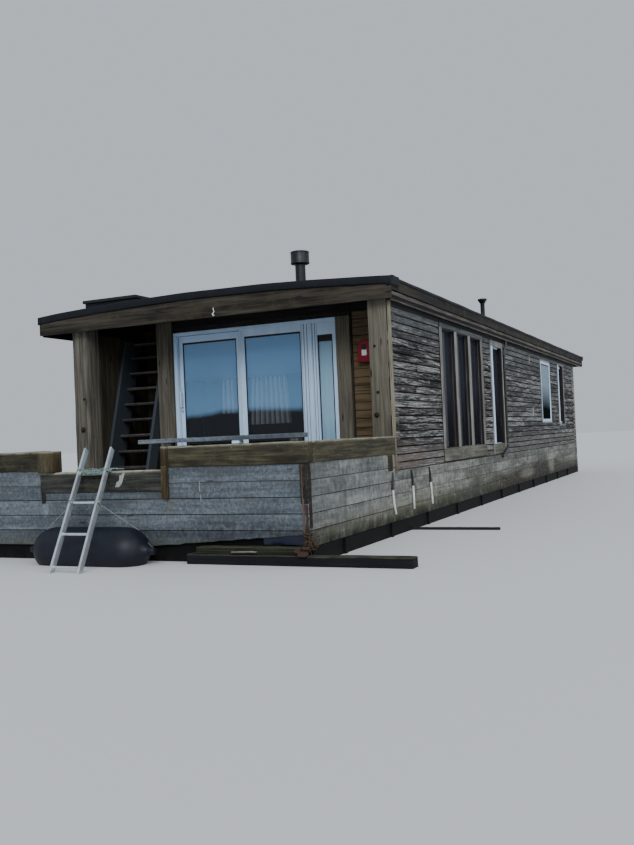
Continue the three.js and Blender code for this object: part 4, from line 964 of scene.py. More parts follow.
def bolt_posts():
    """Bolt heads and their plates on the corner posts."""
    shape = start_shape()
    # x, z, plate radius
    for x, z, radius in ((2.67, 2.14, 0.036), (2.70, 2.44, 0.02), (2.68, 3.05, 0.018),
                         (-2.14, 2.15, 0.042), (-2.10, 2.62, 0.018)):
        rounded = [(0.0, 0.0), (radius, 0.0), (radius, 0.006), (radius * 0.62, 0.008),
                   (radius * 0.5, 0.022), (radius * 0.3, 0.028), (0.0, 0.029)]
        spun(shape, rounded, (x, CABIN_FRONT_Y - 0.001, z), (0, -1, 0), 16)
    finish_piece(shape, "post_bolts", "bollard", "black_metal", smooth=40)


def lay_gangplank():
    """The plank lies on three blocks, the middle one white."""
    low, high = boxes["gangplank"]
    under = high.z - 0.047
    boarded([((low.x, low.y, under), high)], "gangplank_board", "plank_end", "silver_board", 0.005, 2,
            [(0, low.x, high.x, 0.12)], (0.002, 2.0, 3.0), replaced=["gangplank"], smooth=50)
    grey, white = start_shape(), start_shape()
    for x, blocks in ((1.13, grey), (2.0, white), (2.7, grey)):
        block(blocks, (x, low.y + 0.02, low.z), (x + 0.09, low.y + 0.12, under))
    finish_piece(grey, "gangplank_spacers", "jamb", "silver_board")
    finish_piece(white, "gangplank_white_spacer", "white", "white_frame")


class HOUSEBOAT_OT_timbers(Step):
    """Shapes the sleepers, uprights and posts"""

    bl_idname = "houseboat.timbers"
    bl_label = "Shape the timbers"

    def execute(self, context):
        shape_sleepers(self.begin(context).timber_wear)
        shape_uprights()
        bolt_posts()
        lay_gangplank()
        return {"FINISHED"}


def clad_cabin(sizes):
    """Staggered boards round the cabin, over a core drawn in behind them."""
    depth = sizes.cladding_depth
    levels = levels_between(DECK_TOP, CEILING, sizes.cladding_height)
    # side, axis, hand, outer face, span, frames that leave holes
    walls = (
        ("starboard", "Y", 1, SIDE_X, (CABIN_FRONT_Y, CABIN_AFT_Y),
         ("tall_window", "narrow_window", "mid_window", "aft_window")),
        ("port", "Y", -1, PORT_X, (boxes["wall_port"][0].y, CABIN_AFT_Y), ("port_door", "port_window")),
        ("stern", "X", 1, CABIN_AFT_Y, (PORT_X + depth, SIDE_X - depth), ("stern_window",)),
    )
    for side, axis, hand, outer, span, frames in walls:
        place, across, along = ("side", 0, 1) if axis == "Y" else ("end", 1, 0)
        shape = start_shape()
        holes = [hole_of(f"{name}_frame", along) for name in frames]
        board_wall(shape, axis, hand, outer, depth, span, levels, holes, 3.3, 0.017, 0.008, 0.006)
        finish_piece(shape, f"cladding_{side}", f"cladding_{place}", "dark_board", [f"wall_{side}"])

        def drawn_in(point, across=across, outer=outer, hand=hand):
            if abs(point[across] - outer) < 0.002:
                point[across] = outer - hand * (depth + 0.0005)
            return point

        core = copied(f"wall_{side}", 0.0, move=drawn_in)
        finish_piece(core, f"wall_core_{side}", "wall_core", "dark_board", [f"wall_{side}"])


def board_porch():
    """Warm boards beside the doors, a header over them painted dark for the shade under the roof, and the
    alcove's boards.
    """
    low, high = boxes["wall_front"]
    head = boxes["front_door_frame"][1].z
    post_x = boxes["post_door"][1].x
    face, depth = low.y, 0.11
    warm_top = head + 0.055
    shape = start_shape()
    board_wall(shape, "X", -1, face, depth, (post_x + 0.022, high.x),
               levels_between(DECK_TOP, warm_top, 0.118), length=9.0, gap=0.006, lip=0.003)
    finish_piece(shape, "porch_boards", "warm_X", "warm_board", ["wall_front"])
    # The header's boards are painted dark: painted shade under the roof.
    shape = start_shape()
    board_wall(shape, "X", -1, face, depth, (low.x, post_x), levels_between(head, high.z, 0.09),
               length=9.0, lip=0.006)
    board_wall(shape, "X", -1, face, depth, (post_x, high.x), [warm_top, high.z], length=9.0, lip=0.006)
    # A dark strip beside the door post: painted shadow in the gap.
    block(shape, (post_x + 0.001, face + 0.03, DECK_TOP), (post_x + 0.022, face + depth, warm_top), 0.0)
    finish_piece(shape, "porch_header", "shade_X", "warm_board")
    # The alcove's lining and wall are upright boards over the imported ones.
    width, alcove_end, wall_face = 0.14, -1.31, -4.911
    low, high = boxes["alcove_lining"]
    seams = levels_between(low.y, high.y, width)
    boards = [((high.x - 0.002, y0 + 0.002, low.z), (high.x + 0.009, y1 - 0.002, high.z))
              for y0, y1 in zip(seams, seams[1:])]
    seams = levels_between(high.x + 0.012, alcove_end, width)
    low, high = boxes["alcove_wall"]
    boards += [((x0 + 0.002, wall_face, low.z), (x1 - 0.002, wall_face + 0.013, high.z - 0.01))
               for x0, x1 in zip(seams, seams[1:])]
    boarded(boards, "alcove_boards", "alcove", "warm_board", 0.002)
    paint_node("alcove_lining", "alcove")
    paint_node("alcove_wall", "alcove")


def trim_walls():
    """Corner battens and the frieze under the eaves, painted dark for the eaves' shade."""
    top = boxes["fascia_starboard"][0].z + 0.01
    front, aft = CABIN_FRONT_Y, CABIN_AFT_Y
    shape = start_shape()
    block(shape, (SIDE_X - 0.012, front - 0.012, DECK_TOP - 0.03),
          (SIDE_X + 0.026, front + 0.033, top), 0.004, 2)
    for x0, x1 in ((SIDE_X - 0.002, SIDE_X + 0.014), (PORT_X - 0.014, PORT_X + 0.002)):
        block(shape, (x0, aft - 0.06, DECK_TOP), (x1, aft + 0.012, top))
    finish_piece(shape, "corner_battens", "batten", "dark_board")
    # The frieze is painted near-black: painted shade under the eaves.
    frieze = []
    for x0, x1, spans in (
            (SIDE_X - 0.002, SIDE_X + 0.010,
             ((front + 0.036, -4.18), (-4.17, 1.4), (1.405, 5.1), (5.105, aft - 0.062))),
            (PORT_X - 0.010, PORT_X + 0.002,
             ((front + 0.3, -1.2), (-1.195, 4.1), (4.105, aft - 0.062)))):
        frieze += [((x0, y0, top - 0.065), (x1, y1, CEILING - 0.002)) for y0, y1 in spans]
    boarded(frieze, "eaves_frieze", "shade_Y", "dark_board", 0.002)
    # Two pale splinters stand off the cladding abaft the downpipe.
    splinters = [((SIDE_X - 0.002, y - 0.012, z - height / 2), (SIDE_X + 0.014, y + 0.012, z + height / 2))
                 for y, z, height in ((2.72, 3.42, 0.18), (2.90, 2.25, 0.20))]
    boarded(splinters, "cladding_splinters", "pale_split", "dark_board",
            cuts=[(2, 2.1, 3.6, 0.03)], wear=(0.008, 16.0, 5.0))


class HOUSEBOAT_OT_walls(Step):
    """Clads the cabin, the porch and the alcove"""

    bl_idname = "houseboat.walls"
    bl_label = "Clad the cabin"

    def execute(self, context):
        clad_cabin(self.begin(context))
        board_porch()
        trim_walls()
        return {"FINISHED"}


def cambered(shape, x0, x1, y0, y1, above, below, bevel, wander, place):
    """A strip that follows the roof's camber from one side to the other."""
    strip = start_shape()
    block(strip, (x0, y0, -below), (x1, y1, above), bevel, 2)
    sliced(strip, 0, x0, x1, 0.16)
    for vert in strip.verts:
        vert.co.z += roof_top(vert.co.x)
        vert.co += noise.noise_vector(Vector((vert.co.x * 1.7, vert.co.y * 1.7, place))) * wander
    join_into(shape, strip)


def lap_felt(pitch):
    """Each length of felt laps over the next in a low wavering step."""
    shape = start_shape()
    hatch_low, hatch_high = boxes["hatch_coaming"]
    port, starboard = ROOF_LOW.x + 0.05, ROOF_HIGH.x - 0.05
    for i in range(1, int((ROOF_HIGH.y - ROOF_LOW.y) / pitch)):
        y = ROOF_LOW.y + i * pitch
        spans = [(port, starboard)]
        if hatch_low.y - 0.1 < y < hatch_high.y + 0.1:
            spans = [(port, hatch_low.x - 0.04), (hatch_high.x + 0.04, starboard)]
        for x0, x1 in spans:
            cambered(shape, x0, x1, y, y + 0.12, 0.006, 0.004, 0.002, 0.004, i * 2.0)
    finish_piece(shape, "felt_laps", "felt", "roof_felt", smooth=50)


def edge_felt():
    """The felt is dressed down over the front and stern in a black band, and rolled along the sides."""
    shape = start_shape()
    front, stern, edge_top = ROOF_LOW.y, ROOF_HIGH.y, ROOF_EDGE_TOP
    proud = 0.014
    for y0, y1, place in ((front - proud, front + 0.05, 1.0), (stern - 0.05, stern + proud, 9.0)):
        cambered(shape, ROOF_LOW.x - 0.008, ROOF_HIGH.x + 0.008, y0, y1, 0.010, FELT_BAND + 0.002,
                 0.012, 0.006, place)
    for edge, hand in ((ROOF_LOW.x, -1), (ROOF_HIGH.x, 1)):
        x0, x1 = sorted((edge - hand * 0.06, edge + hand * 0.006))
        roll = start_shape()
        block(roll, (x0, front, edge_top - 0.028), (x1, stern, edge_top + 0.010), 0.010, 3)
        sliced(roll, 1, front, stern, 0.25)
        worn(roll, 0.006, 1.6, hand)
        join_into(shape, roll)
        # At the corners the band turns down the side too, in a bulging fold.
        for y0, y1 in ((front - proud, front + CORNER_WRAP), (stern - CORNER_WRAP, stern + proud)):
            fold = start_shape()
            block(fold, (x0, y0, edge_top - FELT_BAND - 0.008),
                  (x1 + hand * 0.012, y1, edge_top + 0.018), 0.018, 3)
            sliced(fold, 1, y0, y1, 0.05)
            sliced(fold, 2, edge_top - FELT_BAND, edge_top, 0.04)
            worn(fold, 0.014, 6.0, y0)
            join_into(shape, fold)
    finish_piece(shape, "felt_edges", "felt_edge", "roof_felt", smooth=50)
    # A small hook of white wire hangs on the front beam.
    shape = start_shape()
    face = front - 0.003
    tube(shape, [(0.352, face, 3.768), (0.354, face - 0.014, 3.752), (0.366, face - 0.012, 3.708),
                 (0.338, face - 0.014, 3.676), (0.354, face - 0.016, 3.650), (0.374, face - 0.014, 3.664)],
         [0.004, 0.006, 0.007, 0.010, 0.009, 0.005], 8)
    finish_piece(shape, "beam_hook", "white_pipe", "fascia_board", smooth=60)


def fix_fascias():
    """Front and stern beams, and the sides' board, trim and bead, jointed along their length."""
    for name in ("front", "stern"):
        shape = copied(f"fascia_{name}", 0.005)
        low, high = boxes[f"fascia_{name}"]
        sliced(shape, 0, low.x, high.x, 0.3)
        worn(shape, 0.003, 1.5, 2.0)
        finish_piece(shape, f"{name}_beam", "fascia_X", "fascia_board", [f"fascia_{name}"], smooth=40)
    # kind, finish, depth out from the inner face, bottom and top over the fascia's bottom, lengths
    rows = (("board", "fascia_Y", 0.040, 0.115, 0.2435, (2.1, 3.6)),
            ("trim", "trim_dim", 0.030, 0.050, 0.098, (3.5, 5.0)),
            ("bead", "trim_dim", 0.022, -0.020, 0.0, (3.5, 5.0)))
    bottom = boxes["fascia_front"][0].z
    for side, hand in (("starboard", 1), ("port", -1)):
        low, high = boxes[f"fascia_{side}"]
        inner = ROOF_MIDDLE + hand * (ROOF_HALF - 0.052)
        x0, x1 = sorted((inner, inner + hand * 0.010))
        # A near-black backing behind the side rows: painted shade in their gaps under the felt.
        boarded([((x0, low.y, bottom - 0.019), (x1, high.y, bottom + 0.17))],
                f"side_backing_{side}", "shade_Y", "fascia_board", 0.0)
        for kind, finish, depth, z0, z1, lengths in rows:
            shape = start_shape()
            start = low.y
            while start < high.y - 0.01:
                length = draw.uniform(*lengths)
                end = high.y if start + length > high.y - 1.0 else start + length
                shy = draw.uniform(0.0, 0.004)
                top = bottom + z1
                # The first board is cut down and short, under the felt's corner fold.
                if kind == "board" and start == low.y:
                    top = bottom + 0.175
                    end = ROOF_LOW.y + CORNER_WRAP + 0.01
                x0, x1 = sorted((inner + hand * 0.0005, inner + hand * (depth - shy + 0.003)))
                block(shape, (x0, start + 0.002, bottom + z0), (x1, end - 0.002, top))
                start = end
            sliced(shape, 1, low.y, high.y, 0.35)
            worn(shape, 0.003, 2.2, z1 + hand)
            replaced = [f"fascia_{side}"] if kind == "board" else []
            finish_piece(shape, f"side_{kind}_{side}", finish, "fascia_board", replaced)


class HOUSEBOAT_OT_roof(Step):
    """Lays the felt, its rolled edges and laps, and the fascias"""

    bl_idname = "houseboat.roof"
    bl_label = "Cover the roof"

    def execute(self, context):
        sizes = self.begin(context)
        paint_node("roof", "felt")
        lap_felt(sizes.felt_lap)
        edge_felt()
        fix_fascias()
        eased_node("hatch_coaming", 0.003, "hatch_kerb", "felt_edge", "fascia_board")
        eased_node("hatch_lid", 0.005, "hatch_cover", "felt", "roof_felt", "hatch")
        return {"FINISHED"}


def gasket_round(shape, axis, name, face, width, proud=0.004, hand=-1, depth=0.018):
    """A thin black seal round a pane, just inside its frame's edge, widened at the head as a painted shadow.
    """
    low, high = boxes[name]
    a0, a1 = (low.x, high.x) if axis == "X" else (low.y, high.y)
    z0, z1 = low.z, high.z
    outer, inner = face + hand * proud, face - hand * depth
    reach = 0.003
    # The head is 2.4 widths deep: a painted shadow under the frame's head over the seal.
    for left, right, bottom, top in (
            (a0 - reach, a1 + reach, z1 - width * 2.4, z1 + reach),
            (a0 - reach, a1 + reach, z0 - reach, z0 + width),
            (a0 - reach, a0 + width, z0, z1), (a1 - width, a1 + reach, z0, z1)):
        block(shape, *lay(axis, outer, inner, left, right, bottom, top), 0.002)


def glaze_front():
    """The front doors' panes with their seals, and a dark slotted band in the head of the side pane, a
    painted shade under the frame's head.
    """
    # pane, finish, face, body
    for pane, finish, face, body in (("fixed", "glass", DOOR_WALL_Y, "boat"),
                                     ("side", "side_glass", DOOR_WALL_Y, "boat"),
                                     ("leaf", "glass", LEAF_FACE_Y, "front_door")):
        paint_node(f"front_door_{pane}_glass", finish)
        shape = start_shape()
        gasket_round(shape, "X", f"front_door_{pane}_glass", face, 0.010)
        finish_piece(shape, f"front_door_{pane}_gasket", "gasket", "white_frame", body=body)
    # A near-black band with slots at the head of the side pane: painted shade under the frame's head.
    low, high = boxes["front_door_side_glass"]
    slots = [((low.x + 0.02, low.y - 0.006, high.z - rise - 0.008), (high.x - 0.02, low.y, high.z - rise))
             for rise in (0.030, 0.050, 0.070)]
    boarded([((low.x, low.y - 0.003, high.z - 0.095), (high.x, low.y + 0.002, high.z)), *slots],
            "side_pane_head_shade", "gasket", "white_frame", 0.002)


def mould_front():
    """Ribs on the wide mullion, the track's lips, beads round the panes and the handle's plate."""
    low, high = boxes["front_door_frame"]
    head, sill, face = high.z - 0.058, DECK_TOP + 0.060, DOOR_WALL_Y
    # x0, x1, z0, z1, how far it stands out
    ribs = [(x, x + width, sill, head, proud) for x, width, proud in (
        (1.215, 0.030, 0.010), (1.275, 0.016, 0.006), (1.325, 0.050, 0.012), (1.405, 0.016, 0.006),
        (1.435, 0.026, 0.010), (0.175, 0.018, 0.008), (0.215, 0.018, 0.008))]
    rims = ((low.x + 0.006, high.x - 0.006, high.z - 0.050, high.z - 0.004, 0.010),
            (low.x + 0.006, high.x - 0.006, low.z + 0.004, low.z + 0.045, 0.016),
            (low.x + 0.004, low.x + 0.046, low.z + 0.05, high.z - 0.055, 0.008),
            (high.x - 0.046, high.x - 0.004, low.z + 0.05, high.z - 0.055, 0.008))
    shape = start_shape()
    for x0, x1, z0, z1, proud in ribs:
        block(shape, (x0, face - proud, z0), (x1, face + 0.004, z1), 0.003, 2)
    grooves = [((x, face - 0.003, sill), (x + 0.006, face + 0.002, head))
               for x in (1.208, 1.250, 1.296, 1.384, 1.426)]
    boarded(grooves, "front_door_grooves", "jamb", "white_frame", 0.001)
    for x0, x1, z0, z1, proud in rims:
        block(shape, (x0, face - proud, z0), (x1, face + 0.004, z1), 0.003, 2)
    finish_piece(shape, "front_door_mouldings", "white", "white_frame")
    shape = start_shape()
    block(shape, (-0.948, LEAF_FACE_Y - 0.006, 2.36), (-0.912, LEAF_FACE_Y + 0.002, 2.76), 0.004, 2)
    spun(shape, [(0.0, 0.0), (0.014, 0.0), (0.014, 0.010), (0.010, 0.013), (0.0, 0.013)],
         (-0.93, LEAF_FACE_Y - 0.004, 2.40), (0, -1, 0), 20)
    finish_piece(shape, "front_door_handle_plate", "aluminium", "white_frame", body="front_door", smooth=40)


def board_port_door():
    """The port door, with upright boards on its outer face and a dark groove between each two."""
    eased_node("port_door_leaf", 0.003, "port_door_boards", "warm_Z", "warm_board", "port_door")
    eased_node("port_door_frame", 0.004, "port_door_casing", "white", "white_frame")
    face = PORT_X + 0.115 - 0.055
    seams = levels_between(-3.642, -2.908, 0.12)
    boards = [((face - 0.012, y0 + 0.003, 1.45), (face + 0.002, y1 - 0.003, 3.36))
              for y0, y1 in zip(seams, seams[1:])]
    boarded(boards, "port_door_battens", "warm_Z", "warm_board", body="port_door")


class HOUSEBOAT_OT_doors(Step):
    """Finishes the glazed front doors and the port door"""

    bl_idname = "houseboat.doors"
    bl_label = "Finish the doors"

    def execute(self, context):
        self.begin(context)
        eased_node("front_door_frame", 0.004, "front_door_casing", "white", "white_frame")
        eased_node("front_door_leaf", 0.003, "front_door_sash", "white", "white_frame", "front_door")
        glaze_front()
        mould_front()
        board_port_door()
        return {"FINISHED"}


def frame_windows():
    """The casings, panes and seals of every window but the tall one."""
    # window, axis, hand, finish of its glass
    for stem, axis, hand, finish in (
            ("narrow_window", "Y", 1, "dark_glass"), ("mid_window", "Y", 1, "sky_glass"),
            ("aft_window", "Y", 1, "dark_glass"), ("port_window", "Y", -1, "sky_glass"),
            ("stern_window", "X", 1, "sky_glass")):
        eased_node(f"{stem}_frame", 0.005, f"{stem}_casing", "white", "white_frame")
        paint_node(f"{stem}_glass", finish)
        low, high = boxes[f"{stem}_glass"]
        face = (high if hand > 0 else low)[0 if axis == "Y" else 1]
        shape = start_shape()
        gasket_round(shape, axis, f"{stem}_glass", face, 0.010, 0.006, hand, 0.004)
        finish_piece(shape, f"{stem}_gasket", "gasket", "white_frame")


def frame_tall_window():
    """Four posts, pale on their faces and painted dark behind for shade, a grey head board and a mossy sill
    beam.
    """
    low, high = boxes["tall_window_frame"]
    glass_low, glass_high = boxes["tall_window_glass"]
    front, back = high.x, glass_low.x - 0.012
    post, bays = 0.122, 3
    pitch = (high.y - low.y - post) / bays
    sill_top, bay_top = 1.63, 3.495
    pale, dark, strips = start_shape(), start_shape(), start_shape()
    cover = front - 0.014
    for i in range(bays + 1):
        y = low.y + i * pitch
        block(dark, (back, y + 0.004, sill_top - 0.02), (cover, y + post - 0.004, high.z - 0.004))
        block(pale, (cover + 0.0005, y + 0.002, sill_top - 0.02), (front, y + post - 0.002, high.z - 0.002))
        for side in (y + 0.002, y + post - 0.002):
            block(strips, (2.832, side - 0.008, sill_top), (2.852, side + 0.008, bay_top))
    # A near-black strip before the first post: painted shadow in the gap.
    block(dark, (SIDE_X - 0.002, low.y - 0.024, low.z), (SIDE_X + 0.008, low.y - 0.001, high.z), 0.002)
    finish_piece(dark, "tall_window_posts", "shade_Z", "grey_frame", ["tall_window_frame"])
    finish_piece(pale, "tall_window_facings", "trim_Z", "grey_frame")
    finish_piece(strips, "tall_window_strips", "jamb", "grey_frame")
    boarded([((back, low.y, bay_top), (front + 0.004, high.y, high.z))],
            "tall_window_head", "head_board", "grey_frame", 0.005, 2)
    boarded([((back, low.y, low.z), (front + 0.012, high.y, sill_top))], "tall_window_sill", "sill",
            "grey_frame", 0.012, 3, [(1, low.y, high.y, 0.12)], (0.004, 3.0, 6.0, 0.01, sill_top), smooth=50)
    paint_node("tall_window_glass", "dark_glass")
    # Beads round each bay, painted dark for the shade of the reveals.
    beads = []
    for i in range(bays):
        y0, y1 = low.y + i * pitch + post, low.y + (i + 1) * pitch
        beads += [((glass_high.x - 0.002, a0, z0), (glass_high.x + 0.014, a1, z1)) for a0, a1, z0, z1 in (
            (y0, y1, bay_top - 0.03, bay_top), (y0, y1, sill_top, sill_top + 0.015),
            (y0, y0 + 0.014, sill_top, bay_top), (y1 - 0.014, y1, sill_top, bay_top))]
    boarded(beads, "tall_window_beads", "shade_Z", "grey_frame", 0.002)


def surround_windows():
    """Boards round three windows, proud of the cladding. Two are sunk, with a white stile and a jamb painted
    dark for shade.
    """
    pale, dark, white = start_shape(), start_shape(), start_shape()
    front, back = SIDE_X + 0.014, SIDE_X - 0.004
    # window; how far the boards reach out before and abaft the frame, and in over its after stile and
    # its head; how far they rise over it; the sill's depth; the white stile's width
    for stem, before, after, over_stile, over_head, rise, sill, stile in (
            ("narrow_window", 0.05, 0.003, 0.045, 0.10, 0.01, 0.0, 0.113),
            ("aft_window", 0.035, 0.035, 0.0, 0.0, 0.05, 0.05, 0.12),
            ("mid_window", 0.03, 0.03, 0.0, 0.0, 0.04, 0.035, 0.0)):
        low, high = boxes[f"{stem}_frame"]
        top = high.z + rise
        jamb, head = high.y - over_stile, high.z - over_head
        for y0, y1, z0 in ((low.y - before, low.y, low.z - sill), (jamb, high.y + after, low.z - sill),
                           (low.y, jamb, head)):
            block(pale, (back, y0, z0), (front, y1, top))
        if sill:
            block(pale, (back, low.y - before, low.z - sill), (front + 0.018, high.y + after, low.z), 0.004)
        if stile:
            pane_low, pane_high = boxes[f"{stem}_glass"]
            block(white, (high.x + 0.0005, low.y + 0.001, max(pane_low.z - 0.01, NARROW_SILL_TOP)),
                  (SIDE_X + 0.016, low.y + stile, head - 0.001), 0.004)
            # The after jamb is painted dark: painted shade in the recess.
            block(dark, (pane_high.x + 0.001, pane_high.y - 0.014, low.z + 0.001),
                  (SIDE_X + 0.002, jamb - 0.001, head - 0.001))
    finish_piece(pale, "window_surrounds", "trim_Z", "grey_frame")
    finish_piece(dark, "window_jambs", "shade_Z", "grey_frame")
    finish_piece(white, "window_stiles", "white", "white_frame")
    low, high = boxes["narrow_window_frame"]
    boarded([((SIDE_X - 0.055, low.y + 0.001, low.z), (SIDE_X + 0.006, high.y - 0.001, NARROW_SILL_TOP))],
            "narrow_window_sill", "sill", "grey_frame", 0.008, 2, smooth=50)


class HOUSEBOAT_OT_windows(Step):
    """Finishes the windows' frames, surrounds, sills and seals"""

    bl_idname = "houseboat.windows"
    bl_label = "Finish the windows"

    def execute(self, context):
        self.begin(context)
        frame_tall_window()
        frame_windows()
        surround_windows()
        return {"FINISHED"}


def lay_deck(width):
    """Boards across every stretch of deck, under the porch and along the port side."""
    top, thickness = DECK_TOP + 0.012, 0.014
    inside, porch_port, porch_aft = SIDE_X - 0.055, PORT_X + 0.285, DOOR_WALL_Y - 0.052
    # x0, x1, y0, y1 of each boarded stretch
    areas = (
        (-inside, inside, boxes["cap_bow_starboard"][1].y, CABIN_FRONT_Y),
        (porch_port, 2.565, CABIN_FRONT_Y, -6.15), (porch_port, 2.77, -6.15, porch_aft),
        (-2.005, -1.315, porch_aft, -4.905),
        (-inside, PORT_X - 0.016, CABIN_FRONT_Y, CABIN_AFT_Y + 0.011),
        (-inside, inside, CABIN_AFT_Y + 0.014, STERN_Y - 0.052),
    )
    boards = []
    for x0, x1, y0, y1 in areas:
        seams = levels_between(y0, y1, width)
        boards += [((x0 + 0.003, a + 0.003, top - thickness), (x1 - 0.003, b - 0.003, top))
                   for a, b in zip(seams, seams[1:])]
    boarded(boards, "deck_boards", "deck", "deck_board", 0.002)


def shape_stair():
    """Two raking strings, nine treads, and the pale front edge of each tread, partly worn and partly a
    painted highlight.
    """
    low, high = boxes["stair"]
    steps, rise, going = 9, 0.25, 0.074
    first_top, first_y = DECK_TOP + 0.155, DOOR_WALL_Y - 0.362
    depth, thickness, string = 0.190, 0.040, 0.050
    slope = going / rise
    last_top = first_top + (steps - 1) * rise
    shape = start_shape()
    # x, how far the string stands before the treads
    for x0, before in ((low.x, 0.20), (high.x - string, 0.02)):
        front = first_y - before + (low.z - first_top) * slope
        back = front + before + depth + 0.02
        plank = start_shape()
        block(plank, (x0, front, low.z), (x0 + string, back, last_top), 0.0)
        for vert in plank.verts:
            vert.co.y += (vert.co.z - low.z) * slope
        eased(plank, plank.edges[:], 0.005, 2)
        join_into(shape, plank)
    finish_piece(shape, "stair_strings", "stringer", "stair_wood", ["stair"])
    # The last tread is sunk a little.
    treads = [(first_y + i * going, first_top + i * rise) for i in range(steps - 1)]
    treads.append((first_y + (steps - 1) * going, last_top - 0.020))
    x0, x1 = low.x + string, high.x - string
    boarded([((x0 - 0.008, y - 0.012, top - thickness), (x1 + 0.008, y + depth, top)) for y, top in treads],
            "stair_treads", "tread", "stair_wood", 0.006, 2, replaced=["stair"])
    # The nosings' pale grey is partly a painted highlight of their lit front edges.
    boarded([((x0, y - 0.015, top - 0.020), (x1, y + 0.010, top + 0.002)) for y, top in treads],
            "stair_nosings", "jamb", "stair_wood", 0.004, 2)


class HOUSEBOAT_OT_deck(Step):
    """Lays the deck boards and shapes the stair"""

    bl_idname = "houseboat.deck"
    bl_label = "Lay the deck"

    def execute(self, context):
        sizes = self.begin(context)
        paint_node("deck", "floor_boards")
        lay_deck(sizes.deck_board_width)
        shape_stair()
        return {"FINISHED"}


def stand_pipes():
    """The flue with its cowl and clamp, and the slimmer vent."""
    low, high = boxes["chimney"]
    centre = ((low.x + high.x) / 2, (low.y + high.y) / 2, 0.0)
    base, top = low.z, high.z
    shape = start_shape()
    skirt = [(0.0, base), (0.155, base), (0.155, base + 0.012), (0.13, base + 0.018), (0.112, base + 0.07),
             (0.104, base + 0.085), (0.104, base + 0.10), (0.087, base + 0.104)]
    pipe = [(0.087, 4.46), (0.091, 4.462), (0.091, 4.488), (0.087, 4.49), (0.087, 4.80), (0.098, 4.812)]
    cowl = [(0.150, 4.812), (0.160, 4.818), (0.160, 4.832), (0.156, 4.838), (0.156, 4.995), (0.160, 5.0),
            (0.160, 5.014), (0.150, 5.022), (0.06, top - 0.002), (0.0, top)]
    spun(shape, skirt + pipe + cowl, centre, (0, 0, 1), 48)
    finish_piece(shape, "flue_and_cowl", "black", "black_metal", ["chimney"], smooth=35)
    shape = start_shape()
    clamp = [(0.106, 0.086), (0.112, 0.086), (0.112, 0.098), (0.106, 0.098), (0.106, 0.086)]
    spun(shape, [(radius, base + height) for radius, height in clamp], centre, (0, 0, 1), 40)
    finish_piece(shape, "flue_clamp", "aluminium", "black_metal", smooth=35)
    low, high = boxes["vent"]
    centre = ((low.x + high.x) / 2, (low.y + high.y) / 2, 0.0)
    base, top = low.z, high.z
    shape = start_shape()
    spun(shape, [(0.0, base), (0.075, base), (0.075, base + 0.008), (0.055, base + 0.02),
                 (0.045, base + 0.05), (0.042, base + 0.06), (0.042, 4.325), (0.049, 4.335),
                 (0.084, 4.390), (0.090, 4.395), (0.090, 4.412), (0.082, top), (0.0, top)],
         centre, (0, 0, 1), 32)
    finish_piece(shape, "roof_vent", "black", "black_metal", ["vent"], smooth=35)


def hang_downpipe():
    """A black pipe with two bends and two clips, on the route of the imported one."""
    x, y = SIDE_X + 0.032, 0.085
    top = 3.610
    route = [(0.028, 0.090, top), (0.028, 0.082, top - 0.05), (0.012, 0.048, top - 0.125),
             (0.002, 0.014, top - 0.20), (0, 0, top - 0.27), (0, 0, 2.9), (0, 0, 2.3), (0, 0, 1.70),
             (0, -0.006, 1.61), (0, -0.022, 1.555), (0, -0.050, 1.52), (0, -0.085, 1.50),
             (0, -0.175, 1.463), (0, -0.270, 1.430), (0, -0.380, 1.392), (0, -0.485, 1.36)]
    shape = start_shape()
    tube(shape, [Vector((x + dx, y + dy, z)) for dx, dy, z in route], 0.023, 20)
    for z in (3.33, 2.5, 1.72):
        tube(shape, [(x, y, z + rise) for rise in (-0.035, -0.030, 0.030, 0.035)],
             [0.023, 0.028, 0.028, 0.023], 20)
    for z in (1.855, 3.255):
        tube(shape, [(x, y, z - 0.014), (x, y, z + 0.014)], 0.029, 20)
        block(shape, (SIDE_X - 0.001, y - 0.015, z - 0.012), (x - 0.02, y + 0.015, z + 0.012), 0.002)
        block(shape, (SIDE_X - 0.001, y - 0.032, z - 0.02), (SIDE_X + 0.008, y + 0.032, z + 0.02))
    finish_piece(shape, "rainwater_pipe", "pipe", "black_metal", ["downpipe"], smooth=45)


def hang_side_pipes():
    """Three drain pipes down the starboard planks, dark above and white below."""
    dark, white = start_shape(), start_shape()
    x, bottom, joint, head = SIDE_X + 0.016, 0.85, 1.185, 1.385
    # y of the foot, the middle, the joint and the head
    for foot_y, middle_y, joint_y, head_y in ((-6.514, -6.590, -6.597, -6.558),
                                              (-5.772, -5.782, -5.781, -5.810),
                                              (-4.930, -4.958, -4.973, -5.000)):
        tube(white, [(x, foot_y, bottom), (x + 0.003, (foot_y + middle_y) / 2, bottom + 0.07),
                     (x + 0.004, middle_y, bottom + 0.17), (x, joint_y, joint)], 0.0145)
        tube(dark, [(x, joint_y, joint - 0.02), (x, joint_y, joint + 0.01),
                    (x, (joint_y + head_y) / 2, joint + 0.12), (x - 0.008, head_y, head)],
             [0.018, 0.017, 0.013, 0.011])
        block(dark, (SIDE_X - 0.001, joint_y - 0.028, joint - 0.010),
              (x + 0.017, joint_y + 0.028, joint + 0.010))
    finish_piece(white, "drain_pipes_white", "white_pipe", "white_frame", smooth=45)
    finish_piece(dark, "drain_pipes_dark", "pipe", "black_metal", smooth=45)


def wound(shape, centre, along, radius, turns, pitch=0.016):
    """A rope wound round a rail or a rung."""
    side = along.orthogonal().normalized()
    other = along.cross(side).normalized()
    path = []
    for i in range(turns * 10 + 1):
        angle = 2 * math.pi * i / 10
        path.append(centre + radius * (math.cos(angle) * side + math.sin(angle) * other)
                    + along * (i / 10 - turns / 2) * pitch)
    tube(shape, path, 0.008, 7)


